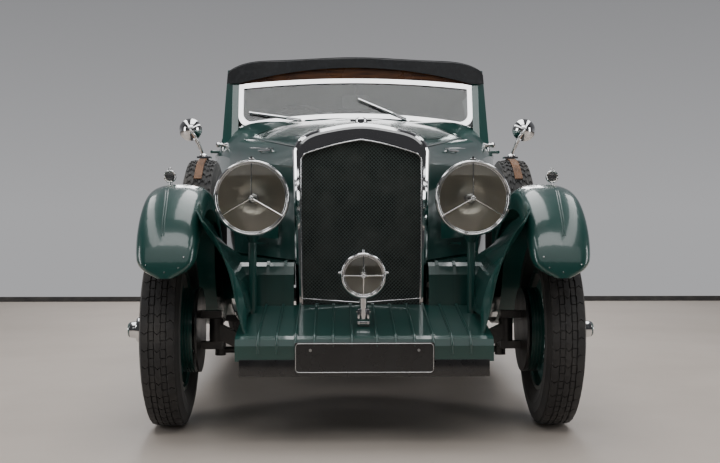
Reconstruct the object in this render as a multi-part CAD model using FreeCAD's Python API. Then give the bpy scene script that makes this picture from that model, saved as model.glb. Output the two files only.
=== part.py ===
import FreeCAD, Part
import math
import os

from FreeCAD import Vector

# A drophead touring car of the 1930s with its fabric hood up: a ladder chassis on leaf springs and
# beam axles, wire wheels with centre nuts, a tall plated radiator with a mesh stone guard, separate
# wings with two side-mounted spares, a four-piece bonnet and a two-door open body.
# Lengths are millimetres. X runs across the car, with its left side at +X. Y runs from the nose
# at -Y to the tail at +Y, and Z is up. The origin is on the floor, at the middle of the car.
# A "setback" is a distance behind the front axle.

# Whole car
overall_length = 4450.0
wheelbase = 3200.0
front_overhang = 500.0
track = 1490.0
sheet = 4.0
shut_gap = 6.0
seat_gap = 0.3
overrun = 20.0

front_axle_y = front_overhang - overall_length / 2
rear_axle_y = front_axle_y + wheelbase
rear_overhang = overall_length - wheelbase - front_overhang
half_track = track / 2

# Tyres and wire wheels
tyre_radius = 372.0
tyre_width = 147.0
tread_width = 124.0
shoulder_drop = 12.0
rim_radius = 229.0
rim_width = 106.0
rim_flange = 14.0
rim_wall = 6.0
rim_well_depth = 20.0
hub_radius = 46.0
hub_flange_radius = 62.0
hub_flange = 7.0
hub_out = 60.0
hub_in = 52.0
spoke_radius = 3.2
spoke_pairs = 20
spoke_splay_angle = 14.0
drum_radius = 165.0
drum_width = 46.0
drum_gap = 10.0
nut_radius = 50.0
nut_length = 74.0
nut_cap_radius = 30.0
nut_cap_length = 110.0
nut_edge = 6.0

# Chassis
rail_x = 375.0
rail_width = 50.0
rail_height = 120.0
rail_top = 500.0
rail_wall = 8.0
dumb_iron_drop = 126.0
dumb_iron_depth = 46.0
rear_arch_lift = 90.0
rear_arch_length = 900.0
rail_tail = 560.0
cross_tube_radius = 20.0
cross_setback_shares = (0.488, 0.72)
front_tube_setback = -60.0
front_tube_z = 418.0
front_tube_radius = 22.0
tail_tube_radius = 30.0
tow_eye_radius = 34.0
tow_eye_width = 26.0
tow_bore_radius = 16.0

# Springs and axles
spring_width = 48.0
spring_leaf = 8.0
spring_leaves = 5
front_spring_length = 860.0
rear_spring_length = 1180.0
front_spring_rise = -27.0
rear_spring_rise = 24.0
shackle_radius = 15.0
shackle_reach = 60.0
axle_beam_height = 62.0
axle_beam_width = 46.0
axle_beam_web = 16.0
axle_beam_flange = 14.0
axle_drop = 62.0
kingpin_x = 570.0
kingpin_radius = 15.0
kingpin_length = 150.0
kingpin_boss_radius = 28.0
running_gap = 0.05
fork_gap = 1.0
stub_radius = 22.0
rear_tube_radius = 40.0
diff_radius = 118.0
diff_width = 190.0
torque_tube_radius = 38.0
back_plate = 8.0
steer_arm_reach = 150.0
steer_arm_width = 30.0
steer_arm_depth = 18.0
track_rod_radius = 13.0
track_rod_eye = 22.0

# Engine, exhaust and tank
engine_length = 720.0
engine_width = 300.0
engine_bottom = 330.0
engine_top = 1010.0
engine_setback = 190.0
gearbox_length = 560.0
gearbox_width = 230.0
gearbox_bottom = 300.0
gearbox_height = 230.0
exhaust_radius = 24.0
silencer_radius = 72.0
silencer_length = 620.0
exhaust_x = 210.0
exhaust_z = 266.0
exhaust_port_z = 560.0
exhaust_tail_in = 40.0
silencer_share = 0.46
tank_length = 290.0
tank_height = 190.0
tank_corner = 60.0

# Radiator
radiator_setback = 30.0
radiator_depth = 95.0
radiator_half_width = 273.0
radiator_top = 1189.0
radiator_shoulder = 1082.0
radiator_bottom = 432.0
radiator_pan_thickness = 14.0
radiator_waist_in = 14.0
radiator_nose_inset = 24.0
radiator_nose_steps = 4
opening_arch_share = 0.30
opening_half_width = 238.0
opening_top = 1121.0
opening_corner = 1066.0
opening_corner_cut = 34.0
opening_bottom = 467.0
opening_point = 444.0
shell_wall = 12.0
shell_lip = 26.0
mesh_pitch = 15.6
mesh_wire = 2.4
mesh_frame = 7.0
mesh_set_in = 14.0
core_depth = 46.0
cap_radius = 27.0
cap_height = 22.0
cap_neck_radius = 17.0
cap_neck_height = 4.0
cap_ear_reach = 43.0
cap_ear_height = 9.0

# Lamps
headlamp_x = 419.0
headlamp_z = 888.0
headlamp_radius = 144.0
headlamp_depth = 215.0
headlamp_setback = -180.0
lamp_rim_width = 9.0
lamp_rim_depth = 20.0
lamp_wall = 3.0
lens_thickness = 5.0
lens_bulge = 12.0
tripod_bar = 4.0
tripod_hub_radius = 13.0
lamp_post_radius = 15.0
lamp_finial_radius = 9.0
lamp_finial_height = 15.0
fog_lamp_z = 604.0
fog_lamp_radius = 84.0
fog_lamp_depth = 120.0
fog_lamp_setback = -345.0
fog_post_radius = 14.0
fog_foot_width = 44.0
fog_foot_seat = 12.0
wing_lamp_x = 745.0
wing_lamp_z = 972.0
wing_lamp_setback = -40.0
wing_lamp_radius = 21.0
wing_lamp_length = 74.0
wing_lamp_stalk = 26.0
tail_lamp_radius = 36.0
tail_lamp_x = 300.0
tail_lamp_z = 655.0

# Front apron and number plates
apron_half_width = 455.0
apron_crease_z = 398.0
apron_crease_setback = -458.0
apron_face_bottom = 312.0
apron_rear_z = 468.0
apron_rear_setback = 15.0
apron_nose_radius = 32.0
apron_rib_pitch = 66.0
apron_rib_width = 12.0
apron_rib_height = 6.0
apron_rib_pairs = 6
apron_centre_gap = 88.0
step_inner_x = 266.0
step_outer_x = 490.0
step_top_z = 634.0
step_face_setback = 2.0
step_roll_radius = 46.0
step_depth = 150.0
step_rib_pitch = 68.0
plate_width = 490.0
plate_height = 108.0
plate_thickness = 6.0
plate_z = 325.0
rear_plate_z = 560.0

# Wings and running boards
wing_centre_x = 703.0
wing_half_width = 113.0
wing_top = 942.0
wing_tip_setback = -474.0
wing_end_setback = 1230.0
wing_skirt = 96.0
board_top = 318.0
board_thickness = 30.0
board_inner_x = 560.0
board_outer_x = 812.0
board_end_setback = 2500.0
board_bracket_shares = (0.42, 0.72)
valance_base = 720.0
valance_nose = -425.0
valance_reach = 380.0
valance_turn = 540.0
valance_tail = 985.0
rear_wing_top = 925.0
rear_wing_end_z = 380.0
rear_wing_centre_x = 700.0
rear_wing_half_width = 122.0
spare_setback = 780.0
spare_z = 703.0
spare_x = 708.0
spare_well_gap = 10.0

# Bonnet
bonnet_rear_setback = 1000.0
bonnet_gap = 6.0
bonnet_thickness = 5.0
bonnet_rear_top_z = 1280.0
bonnet_bottom_z = 640.0
bonnet_rear_side_x = 600.0
bonnet_hinge_radius = 6.0
bonnet_hinge_gap = 5.0
louvre_share = 0.2
louvre_top_z = 1020.0
louvre_count = 14
louvre_length = 300.0
louvre_pitch = 34.0
louvre_height = 9.0
louvre_width = 17.0

# Body
wall = 34.0
body_bottom = 345.0
waist_height = 1165.0
body_half_width = 765.0
scuttle_setback = 1330.0
scuttle_rear_setback = 1395.0
bulkhead = 20.0
body_tail_in = 40.0
well_radius = 432.0
well_inner_x = 588.0
tunnel_gap = 12.0
tunnel_wall = 10.0
tunnel_end_setback = 1500.0
door_front_setback = 1395.0
door_rear_setback = 2440.0
door_sill = 372.0
door_corner = 90.0
door_hinge_out = 6.0
door_inner_x = 560.0
cabin_rear_setback = 3270.0
moulding_z = 1118.0
moulding_width = 15.0
moulding_height = 5.0
rear_wing_moulding_reach = 60.0
handle_setback = 1440.0
handle_z = 1145.0
handle_stem_x = 700.0
handle_reach = 46.0
handle_length = 105.0
handle_radius = 8.0
floor_thickness = 24.0
boot_lid_half_width = 400.0
boot_lid_front_setback = 3490.0
boot_lid_reach = 500.0
boot_hinge_z = 1136.0
boot_corner = 60.0

# Windscreen
screen_base_setback = 1290.0
screen_rake_angle = 16.0
screen_half_width = 596.0
screen_base_z = 1268.0
screen_crown = 45.0
screen_top_z = 1495.0
screen_top_crown = 33.0
screen_corner = 55.0
screen_frame_width = 24.0
screen_frame_depth = 20.0
screen_glass = 6.0
pillar_width = 87.0
pillar_taper = 23.0
pillar_face_width = 33.0
pillar_depth = 52.0
pillar_drop = 150.0
screen_foot_drop = 40.0
wiper_pivot_x = 267.0
wiper_pivot_rise = 32.0
wiper_arm_radius = 4.0
wiper_pivot_radius = 11.0
wiper_blade_depth = 12.0
wiper_blade_width = 5.0
wiper_reach = 182.0
wiper_blade_length = 190.0
wiper_park_angle = 82.0
wiper_up_angle = 66.0
wiper_blade_turn = 0.0

# Hood
hood_thickness = 14.0
header_setback = 1342.0
hood_band_depth = 24.0
hood_band_side_z = 1490.0
hood_band_centre_z = 1572.0
header_depth = 60.0
header_low_side_z = 1487.0
header_low_centre_z = 1520.0
header_side_z = 1545.0
hood_crest_z = 1652.0
hood_rear_setback = 3330.0
hood_side_z = 1515.0
side_glass = 6.0
side_glass_top_z = 1505.0
glass_front_gap = 14.0
glass_foot_front_x = 694.0
glass_foot_rear_x = 738.0
glass_head_front_x = 636.0
glass_head_rear_x = 668.0
rear_window_width = 520.0
rear_window_height = 150.0
rear_window_z = 1420.0
rear_window_corner = 40.0

# Cabin
dash_depth = 46.0
dash_height = 190.0
dash_setback = 1349.0
seat_width = 520.0
seat_x = 300.0
seat_setback = 2010.0
seat_depth = 520.0
seat_base_z = 640.0
seat_thickness = 150.0
seat_back_height = 480.0
seat_back_thickness = 120.0
seat_back_angle = 16.0
seat_corner = 40.0
bench_half_width = 538.0
bench_setback = 2850.0
bench_depth = 330.0
bench_back_height = 400.0
steering_x = -300.0
steering_setback = 1830.0
steering_z = 1215.0
steering_wheel_radius = 215.0
steering_grip_radius = 12.0
steering_hub_radius = 32.0
steering_hub_depth = 44.0
steering_column_angle = 62.0
steering_column_radius = 22.0

# Mirrors on the spares and inside the screen
mirror_radius = 50.0
mirror_depth = 26.0
mirror_x = 770.0
mirror_z = 1212.0
mirror_stem_radius = 6.0
inner_mirror_width = 140.0
inner_mirror_height = 66.0
inner_mirror_depth = 14.0
inner_mirror_z = 1400.0
inner_mirror_setback = 1385.0
inner_mirror_stem = 4.0
strap_width = 34.0
strap_thickness = 5.0
mirror_foot_width = 62.0
mirror_foot_height = 9.0


def at(setback):
    """The Y of a place that lies this far behind the front axle."""
    return front_axle_y + setback


def box(x0, x1, y0, y1, z0, z1):
    """A block between two corners."""
    return Part.makeBox(x1 - x0, y1 - y0, z1 - z0, Vector(x0, y0, z0))


def rod(start, end, radius):
    """A round bar between two points."""
    run = end - start
    return Part.makeCylinder(radius, run.Length, start, run)


def mirrored(shape):
    """The same shape on the other side of the car."""
    return shape.mirror(Vector(0, 0, 0), Vector(1, 0, 0))


def pair(shape):
    """A piece and its mirror image."""
    return [shape, mirrored(shape)]


def polygon(points):
    """A closed wire through these points."""
    return Part.makePolygon(list(points) + [points[0]])


def curve(points):
    """A smooth edge through these points."""
    line = Part.BSplineCurve()
    line.interpolate(points)
    return line.toShape()


def prism(points, run):
    """A flat outline pushed along a vector."""
    return Part.Face(polygon(points)).extrude(run)


def loft(wires, ruled=False):
    """A solid through a row of closed wires."""
    return Part.makeLoft(wires, True, ruled)


def fused(first, *others):
    """One solid from pieces that overlap or touch."""
    return first.fuse(list(others)).removeSplitter()


def rounded(shape, radius, direction):
    """The shape with its edges along one direction rounded."""
    along = Vector(direction)
    chosen = []
    for edge in shape.Edges:
        if len(edge.Vertexes) == 2:
            run = edge.Vertexes[1].Point - edge.Vertexes[0].Point
            if run.Length > 0 and abs(run.normalize().dot(along)) > 0.999:
                chosen.append(edge)
    return shape.makeFillet(radius, chosen)


def spun(points, centre, turn_axis):
    """A ring turned from a profile of points that are given as Vectors."""
    return Part.Face(polygon(points)).revolve(centre, turn_axis, 360)


def save(node, *shapes):
    """Writes a sub-part's solids to its STEP file."""
    solids = []
    for shape in shapes:
        solids.extend(shape.Solids)
    whole = solids[0] if len(solids) == 1 else Part.makeCompound(solids)
    whole.exportStep(os.path.join("parts", node + ".step"))


# Wheels


def tyre():
    """A tyre about the X axis, its outside towards +X: round shoulders and bulged side walls."""
    half = tyre_width / 2
    tread = tread_width / 2
    bead = rim_width / 2 - rim_wall
    bulge_z = (tyre_radius + rim_radius) / 2
    crown_z = tyre_radius - shoulder_drop

    def point(x, z):
        return Vector(x, 0, z)

    side_z = (bulge_z + crown_z) / 2
    edges = [
        Part.LineSegment(point(-bead, rim_radius), point(bead, rim_radius)).toShape(),
        Part.Arc(
            point(bead, rim_radius),
            point((bead + half * 2) / 3, (rim_radius * 2 + bulge_z) / 3),
            point(half, bulge_z),
        ).toShape(),
        Part.Arc(
            point(half, bulge_z),
            point((half * 2 + tread) / 3, side_z + shoulder_drop),
            point(tread, crown_z),
        ).toShape(),
        Part.Arc(
            point(tread, crown_z), point(0, tyre_radius), point(-tread, crown_z)
        ).toShape(),
        Part.Arc(
            point(-tread, crown_z),
            point(-(half * 2 + tread) / 3, side_z + shoulder_drop),
            point(-half, bulge_z),
        ).toShape(),
        Part.Arc(
            point(-half, bulge_z),
            point(-(bead + half * 2) / 3, (rim_radius * 2 + bulge_z) / 3),
            point(-bead, rim_radius),
        ).toShape(),
    ]
    face = Part.Face(Part.Wire(edges))
    return face.revolve(Vector(0, 0, 0), Vector(1, 0, 0), 360)


def rim():
    """The rolled steel rim: a dropped well between two bead seats and two flanges."""
    half = rim_width / 2
    seat = half - rim_wall
    well = seat / 2
    outer = [
        (-half, rim_radius + rim_flange),
        (-seat, rim_radius + rim_flange),
        (-seat, rim_radius),
        (-well - rim_well_depth / 2, rim_radius),
        (-well, rim_radius - rim_well_depth),
        (well, rim_radius - rim_well_depth),
        (well + rim_well_depth / 2, rim_radius),
        (seat, rim_radius),
        (seat, rim_radius + rim_flange),
        (half, rim_radius + rim_flange),
        (half, rim_radius - rim_wall),
        (well + rim_well_depth, rim_radius - rim_wall),
        (well + rim_wall, rim_radius - rim_well_depth - rim_wall),
        (-well - rim_wall, rim_radius - rim_well_depth - rim_wall),
        (-well - rim_well_depth, rim_radius - rim_wall),
        (-half, rim_radius - rim_wall),
    ]
    points = [Vector(x, 0, z) for x, z in outer]
    return spun(points, Vector(0, 0, 0), Vector(1, 0, 0))


def hub():
    """The wheel centre: a shell with an outer and an inner spoke flange."""
    profile = [
        (-hub_in, 0),
        (hub_out, 0),
        (hub_out, hub_radius),
        (hub_out - hub_flange, hub_radius),
        (hub_out - hub_flange * 2, hub_radius * 0.8),
        (-hub_in + hub_flange * 2, hub_radius),
        (-hub_in + hub_flange, hub_flange_radius),
        (-hub_in, hub_flange_radius),
    ]
    points = [Vector(x, 0, z) for x, z in profile]
    return spun(points, Vector(0, 0, 0), Vector(1, 0, 0))


def spoke(hub_x, hub_z, angle, lean):
    """One spoke from the hub to the rim well, leaning round the wheel."""
    a = math.radians(angle)
    b = math.radians(angle + lean)
    reach = rim_radius - rim_well_depth - rim_wall / 2
    well = rim_width / 12
    side = well if hub_x < 0 else -well
    start = Vector(hub_x, hub_z * math.sin(a), hub_z * math.cos(a))
    end = Vector(side, reach * math.sin(b), reach * math.cos(b))
    return rod(start, end, spoke_radius)


def spokes():
    """Two rows of crossed spokes, an outer row from the nose of the hub and an inner one."""
    bars = []
    step = 360.0 / spoke_pairs
    outer_z = hub_radius * 0.82
    inner_z = hub_flange_radius * 0.93
    for n in range(spoke_pairs):
        lean = spoke_splay_angle if n % 2 else -spoke_splay_angle
        bars.append(spoke(hub_out - hub_flange, outer_z, n * step, lean))
        bars.append(spoke(-hub_in + hub_flange, inner_z, (n + 0.5) * step, lean))
    return bars


def centre_nut():
    """The plated hub cap: a wide collar and a narrower nose, both with softened edges."""
    profile = [
        (hub_out, 0),
        (hub_out + nut_cap_length, 0),
        (hub_out + nut_cap_length, nut_cap_radius - nut_edge),
        (hub_out + nut_cap_length - nut_edge, nut_cap_radius),
        (hub_out + nut_length + nut_edge, nut_cap_radius),
        (hub_out + nut_length, nut_cap_radius + nut_edge),
        (hub_out + nut_length, nut_radius - nut_edge),
        (hub_out + nut_length - nut_edge, nut_radius),
        (hub_out, nut_radius),
    ]
    points = [Vector(x, 0, z) for x, z in profile]
    return spun(points, Vector(0, 0, 0), Vector(1, 0, 0))


def brake_drum():
    """The brake drum behind the wheel centre, with cooling ribs round it."""
    end = -hub_in
    along = Vector(-1, 0, 0)
    drum = Part.makeCylinder(drum_radius, drum_width, Vector(end, 0, 0), along)
    rib_width = drum_width / 9
    for n in range(1, 4):
        place = end - drum_width * n / 4
        groove = Part.makeCylinder(
            drum_radius + rib_width, rib_width, Vector(place, 0, 0), along
        )
        groove = groove.cut(
            Part.makeCylinder(
                drum_radius - rib_width, rib_width, Vector(place, 0, 0), along
            )
        )
        drum = drum.cut(groove)
    return drum


def wire_wheel(with_drum=True):
    """Rim, spokes, hub and nut as one piece, with the brake drum on a road wheel."""
    pieces = [hub(), centre_nut()] + spokes()
    if with_drum:
        pieces.append(brake_drum())
    return fused(rim(), *pieces)


def place_wheel(shape, x, y, z):
    """A wheel piece set at its place, turned so that its nut faces outwards."""
    piece = shape.copy()
    if x < 0:
        piece = mirrored(piece)
    piece.translate(Vector(x, y, z))
    return piece


def make_wheels():
    ring = tyre().cut(rim())
    road = wire_wheel()
    spare = wire_wheel(False)
    corners = {
        "front_left": (half_track, front_axle_y),
        "front_right": (-half_track, front_axle_y),
        "rear_left": (half_track, rear_axle_y),
        "rear_right": (-half_track, rear_axle_y),
    }
    for corner, (x, y) in corners.items():
        save("tyre_" + corner, place_wheel(ring, x, y, tyre_radius))
        save("wheel_" + corner, place_wheel(road, x, y, tyre_radius))
    spares = [(spare_x, at(spare_setback)), (-spare_x, at(spare_setback))]
    save("spare_tyres", *[place_wheel(ring, x, y, spare_z) for x, y in spares])
    save("spare_wheels", *[place_wheel(spare, x, y, spare_z) for x, y in spares])


# Chassis


def rail():
    """One side rail: a deep channel with a dumb iron at the nose and an arch over the rear axle."""
    low = rail_top - rail_height
    nose_y = at(-front_spring_length / 2)
    tail_y = at(wheelbase) + rail_tail
    arch_a = rear_axle_y - rear_arch_length / 2
    arch_b = rear_axle_y + rear_arch_length / 2
    crest = rear_arch_length / 5
    start_y = at(engine_setback)
    top = [
        Vector(0, nose_y, rail_top - dumb_iron_drop),
        Vector(0, front_axle_y - rail_height, rail_top - dumb_iron_drop / 2),
        Vector(0, front_axle_y, rail_top - dumb_iron_drop / 3),
        Vector(0, start_y, rail_top),
        Vector(0, arch_a, rail_top),
        Vector(0, rear_axle_y - crest, rail_top + rear_arch_lift),
        Vector(0, rear_axle_y + crest, rail_top + rear_arch_lift),
        Vector(0, arch_b, rail_top),
        Vector(0, tail_y, rail_top),
    ]
    bottom = [
        Vector(0, tail_y, rail_top - dumb_iron_depth * 1.5),
        Vector(0, arch_b, low + dumb_iron_depth),
        Vector(0, rear_axle_y + crest, low + rear_arch_lift + dumb_iron_depth / 2),
        Vector(0, rear_axle_y - crest, low + rear_arch_lift + dumb_iron_depth / 2),
        Vector(0, arch_a, low),
        Vector(0, start_y, low),
        Vector(0, front_axle_y - rail_height / 2, low + rail_wall * 3),
        Vector(0, nose_y, rail_top - dumb_iron_drop - dumb_iron_depth / 3),
    ]
    solid = Part.Face(polygon(top + bottom)).extrude(Vector(rail_width, 0, 0))
    solid.translate(Vector(rail_x, 0, 0))
    # The channel is open towards the middle of the car between the engine mount and the arch.
    channel = box(
        rail_x - overrun,
        rail_x + rail_width - rail_wall,
        start_y + rail_height,
        arch_a - rail_height / 2,
        low + rail_wall,
        rail_top - rail_wall,
    )
    return solid.cut(channel)


def tail_tube_centre():
    """The middle of the cross tube at the tail of the frame."""
    return Vector(0, at(wheelbase) + rail_tail - tail_tube_radius * 1.5, rail_top - tail_tube_radius * 1.2)


def cross_members():
    """Tubes from rail to rail: one over the front axle, two over the drive line, one at the tail."""
    places = [(front_tube_setback, front_tube_z, front_tube_radius)]
    for share in cross_setback_shares:
        places.append((share * wheelbase, rail_top - cross_tube_radius * 1.1, cross_tube_radius))
    tail = tail_tube_centre()
    places.append((tail.y - front_axle_y, tail.z, tail_tube_radius))
    reach = Vector(rail_x + rail_width - rail_wall / 2, 0, 0)
    tubes = []
    for setback, z, radius in places:
        middle = Vector(0, at(setback), z)
        tubes.append(rod(middle - reach, middle + reach, radius))
    return tubes


def tow_eye():
    """A flat towing tongue behind the tail cross tube, with an upright hole for the pin."""
    centre = tail_tube_centre()
    y = centre.y + tail_tube_radius + tow_eye_radius
    low = centre.z - tow_eye_width / 2
    disc = Part.makeCylinder(tow_eye_radius, tow_eye_width, Vector(0, y, low))
    neck = box(-tow_eye_radius, tow_eye_radius, centre.y, y, low, low + tow_eye_width)
    length = tow_eye_width + overrun * 2
    hole = Part.makeCylinder(tow_bore_radius, length, Vector(0, y, low - overrun))
    return fused(disc, neck), hole


def board_brackets():
    """Brackets from the left rail out under the running board."""
    low = board_top - board_thickness
    found = []
    for share in board_bracket_shares:
        y = at(share * wheelbase)
        outline = [
            Vector(rail_x + rail_width, y, rail_top - rail_height / 2),
            Vector(rail_x + rail_width, y, low - board_thickness),
            Vector(board_outer_x - rail_width, y, low - board_thickness / 3),
            Vector(board_outer_x - rail_width, y, low),
            Vector(rail_x + rail_width * 1.8, y, low),
            Vector(rail_x + rail_width * 1.5, y, rail_top - rail_height / 2),
        ]
        found.append(prism(outline, Vector(0, rail_width, 0)))
    return found


def radiator_pan():
    """The flat tray between the rails that carries the radiator."""
    y0 = at(radiator_setback)
    reach = rail_x + rail_width / 2
    low = radiator_bottom - radiator_pan_thickness
    return box(-reach, reach, y0, y0 + radiator_depth, low, radiator_bottom)


def make_chassis():
    eye, eye_hole = tow_eye()
    arms = board_brackets()
    arms += [mirrored(arm) for arm in arms]
    frame = fused(rail(), mirrored(rail()), *cross_members(), radiator_pan(), eye, *arms)
    frame = frame.cut(eye_hole)
    save("chassis_frame", frame)
    return frame


def leaf_spring(y, length, seat_z, eye_rise):
    """A semi-elliptic spring: leaves of falling length, bowed so that the eyes stand higher."""
    layers = []
    for n in range(spring_leaves):
        reach = length / 2 * (1 - n / (spring_leaves + 1))
        rise = eye_rise * (reach / (length / 2)) ** 2
        z = seat_z + spring_leaf * (spring_leaves - n)
        arc = Part.Arc(
            Vector(0, y - reach, z + rise), Vector(0, y, z), Vector(0, y + reach, z + rise)
        ).toShape()
        under = Part.Arc(
            Vector(0, y - reach, z + rise - spring_leaf),
            Vector(0, y, z - spring_leaf),
            Vector(0, y + reach, z + rise - spring_leaf),
        ).toShape()
        ends = [
            Part.LineSegment(a.Vertexes[k].Point, b.Vertexes[k].Point).toShape()
            for a, b, k in ((arc, under, 0), (arc, under, 1))
        ]
        wire = Part.Wire(Part.__sortEdges__([arc, ends[1], under, ends[0]]))
        leaf = Part.Face(wire).extrude(Vector(spring_width, 0, 0))
        layers.append(leaf)
    spring = fused(layers[0], *layers[1:])
    spring.translate(Vector(rail_x + (rail_width - spring_width) / 2, 0, 0))
    return spring


def beam_top(axle_z):
    return axle_z - axle_drop + axle_beam_height / 2


def hung_spring(y, length, seat_z, eye_rise, frame):
    """A spring with its end eyes and the hangers that reach up to the rail."""
    spring = leaf_spring(y, length, seat_z, eye_rise)
    x = rail_x + (rail_width - spring_width) / 2
    eye_z = seat_z + spring_leaf * (spring_leaves - 0.5) + eye_rise
    inset = shackle_radius * 0.6
    parts = []
    for side in (-1, 1):
        place = Vector(x, y + side * (length / 2 - inset), eye_z)
        parts.append(Part.makeCylinder(shackle_radius, spring_width, place, Vector(1, 0, 0)))
        parts.append(
            box(
                x,
                x + spring_width,
                place.y - shackle_radius * 0.6,
                place.y + shackle_radius * 0.6,
                eye_z,
                eye_z + shackle_reach,
            )
        )
    return fused(spring, *parts).cut(frame)


def make_springs(frame):
    front_seat = beam_top(tyre_radius)
    rear_seat = tyre_radius + rear_tube_radius
    front = hung_spring(front_axle_y, front_spring_length, front_seat, front_spring_rise, frame)
    rear = hung_spring(rear_axle_y, rear_spring_length, rear_seat, rear_spring_rise, frame)
    save("leaf_springs", *pair(front.Solids[0]), *pair(rear.Solids[0]))


def make_front_axle():
    """The front beam: an I section dropped between the king pins, with a boss at each end."""
    z = tyre_radius - axle_drop
    reach = kingpin_x
    run = rail_x + rail_width * 1.4
    top = axle_beam_height / 2
    outline = [
        Vector(-run, 0, z - top),
        Vector(run, 0, z - top),
        Vector(reach, 0, tyre_radius - top),
        Vector(reach, 0, tyre_radius + top),
        Vector(run, 0, z + top),
        Vector(-run, 0, z + top),
        Vector(-reach, 0, tyre_radius + top),
        Vector(-reach, 0, tyre_radius - top),
    ]
    beam = prism(outline, Vector(0, axle_beam_width, 0))
    beam.translate(Vector(0, front_axle_y - axle_beam_width / 2, 0))
    depth = (axle_beam_width - axle_beam_web) / 2
    for side in (-1, 1):
        y0 = front_axle_y + side * axle_beam_web / 2
        y1 = y0 + side * (depth + overrun)
        groove = box(
            -run, run, min(y0, y1), max(y0, y1), z - top + axle_beam_flange, z + top - axle_beam_flange
        )
        beam = beam.cut(groove)
    bosses = []
    for x in (-kingpin_x, kingpin_x):
        half = axle_beam_height / 2 + axle_beam_flange
        boss = Part.makeCylinder(
            kingpin_boss_radius, half * 2, Vector(x, front_axle_y, tyre_radius - half)
        )
        bosses.append(boss)
    beam = fused(beam, *bosses)
    for x in (-kingpin_x, kingpin_x):
        hole = Part.makeCylinder(
            kingpin_radius + running_gap,
            kingpin_length * 2,
            Vector(x, front_axle_y, tyre_radius - kingpin_length),
        )
        beam = beam.cut(hole)
    save("front_axle", beam)


def knuckle():
    """A steering knuckle at the left: king pin, forked yoke, stub axle, back plate and arm."""
    half = kingpin_length / 2
    boss = axle_beam_height / 2 + axle_beam_flange + fork_gap
    x = kingpin_x
    pin = Part.makeCylinder(
        kingpin_radius, kingpin_length, Vector(x, front_axle_y, tyre_radius - half)
    )
    drum_face = half_track - hub_in - drum_width - drum_gap
    ears = []
    for z0 in (-half, boss):
        ears.append(
            box(
                x - kingpin_boss_radius * 0.8,
                drum_face - back_plate / 2,
                front_axle_y - kingpin_boss_radius * 0.7,
                front_axle_y + kingpin_boss_radius * 0.7,
                tyre_radius + z0,
                tyre_radius + z0 + half - boss,
            )
        )
    plate = Part.makeCylinder(
        drum_radius, back_plate, Vector(drum_face - back_plate, front_axle_y, tyre_radius), Vector(1, 0, 0)
    )
    relief = Part.makeCylinder(
        kingpin_boss_radius + fork_gap * 2,
        boss * 2,
        Vector(x, front_axle_y, tyre_radius - boss),
    )
    stub = rod(
        Vector(drum_face - back_plate, front_axle_y, tyre_radius),
        Vector(half_track - hub_in - drum_width - seat_gap, front_axle_y, tyre_radius),
        stub_radius,
    )
    arm_z = tyre_radius - half
    arm = box(
        x - steer_arm_width / 2,
        x + steer_arm_width / 2,
        front_axle_y,
        front_axle_y + steer_arm_reach,
        arm_z,
        arm_z + steer_arm_depth,
    )
    eye = Part.makeCylinder(
        track_rod_eye, steer_arm_depth, Vector(x, front_axle_y + steer_arm_reach, arm_z)
    )
    body = fused(plate, *ears, stub)
    return fused(body.cut(relief), pin, arm, eye)


def make_knuckles():
    left = knuckle()
    save("knuckle_left", left)
    save("knuckle_right", mirrored(left))
    arm_z = tyre_radius - kingpin_length / 2
    z = arm_z - seat_gap - track_rod_eye
    y = front_axle_y + steer_arm_reach
    bar = rod(Vector(-kingpin_x, y, z), Vector(kingpin_x, y, z), track_rod_radius)
    ends = [
        Part.makeCylinder(track_rod_eye, track_rod_eye * 2, Vector(x, y, z - track_rod_eye))
        for x in (-kingpin_x, kingpin_x)
    ]
    save("track_rod", fused(bar, *ends))


def make_rear_axle():
    """The rear axle: tubes, a round differential case and the torque tube to the gearbox."""
    reach = half_track - hub_in - drum_width - drum_gap
    tube = rod(
        Vector(-reach, rear_axle_y, tyre_radius),
        Vector(reach, rear_axle_y, tyre_radius),
        rear_tube_radius,
    )
    case = Part.makeCylinder(
        diff_radius, diff_width, Vector(-diff_width / 2, rear_axle_y, tyre_radius), Vector(1, 0, 0)
    )
    nose_y = at(engine_setback + engine_length + gearbox_length) + drum_gap
    torque = Part.makeCone(
        torque_tube_radius,
        torque_tube_radius * 1.7,
        rear_axle_y - nose_y,
        Vector(0, nose_y, gearbox_axis_z()),
        Vector(0, rear_axle_y - nose_y, tyre_radius - gearbox_axis_z()),
    )
    plates = []
    stubs = []
    for side in (-1, 1):
        x = side * (reach - back_plate)
        plates.append(
            Part.makeCylinder(
                drum_radius, back_plate, Vector(x, rear_axle_y, tyre_radius), Vector(side, 0, 0)
            )
        )
        stubs.append(
            Part.makeCylinder(
                stub_radius,
                back_plate + drum_gap - seat_gap,
                Vector(x, rear_axle_y, tyre_radius),
                Vector(side, 0, 0),
            )
        )
    save("rear_axle", fused(tube, case, torque, *plates, *stubs))


def gearbox_axis_z():
    """The height of the drive line at the gearbox."""
    return gearbox_bottom + gearbox_height / 2


# Engine, exhaust and tank


def engine():
    """The heavy mass in front: a plain block with the gearbox behind it."""
    y0 = at(engine_setback)
    half = engine_width / 2
    block = box(-half, half, y0, y0 + engine_length, engine_bottom, engine_top)
    half = gearbox_width / 2
    y1 = y0 + engine_length
    top = gearbox_bottom + gearbox_height
    gearbox = box(-half, half, y1 - overrun, y1 + gearbox_length, gearbox_bottom, top)
    y2 = y0 + engine_width
    sides = box(-rail_x, rail_x, y2, y2 + rail_width, rail_top - rail_width, rail_top)
    return fused(block, gearbox, sides)


def make_engine():
    save("engine_block", engine())


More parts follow.
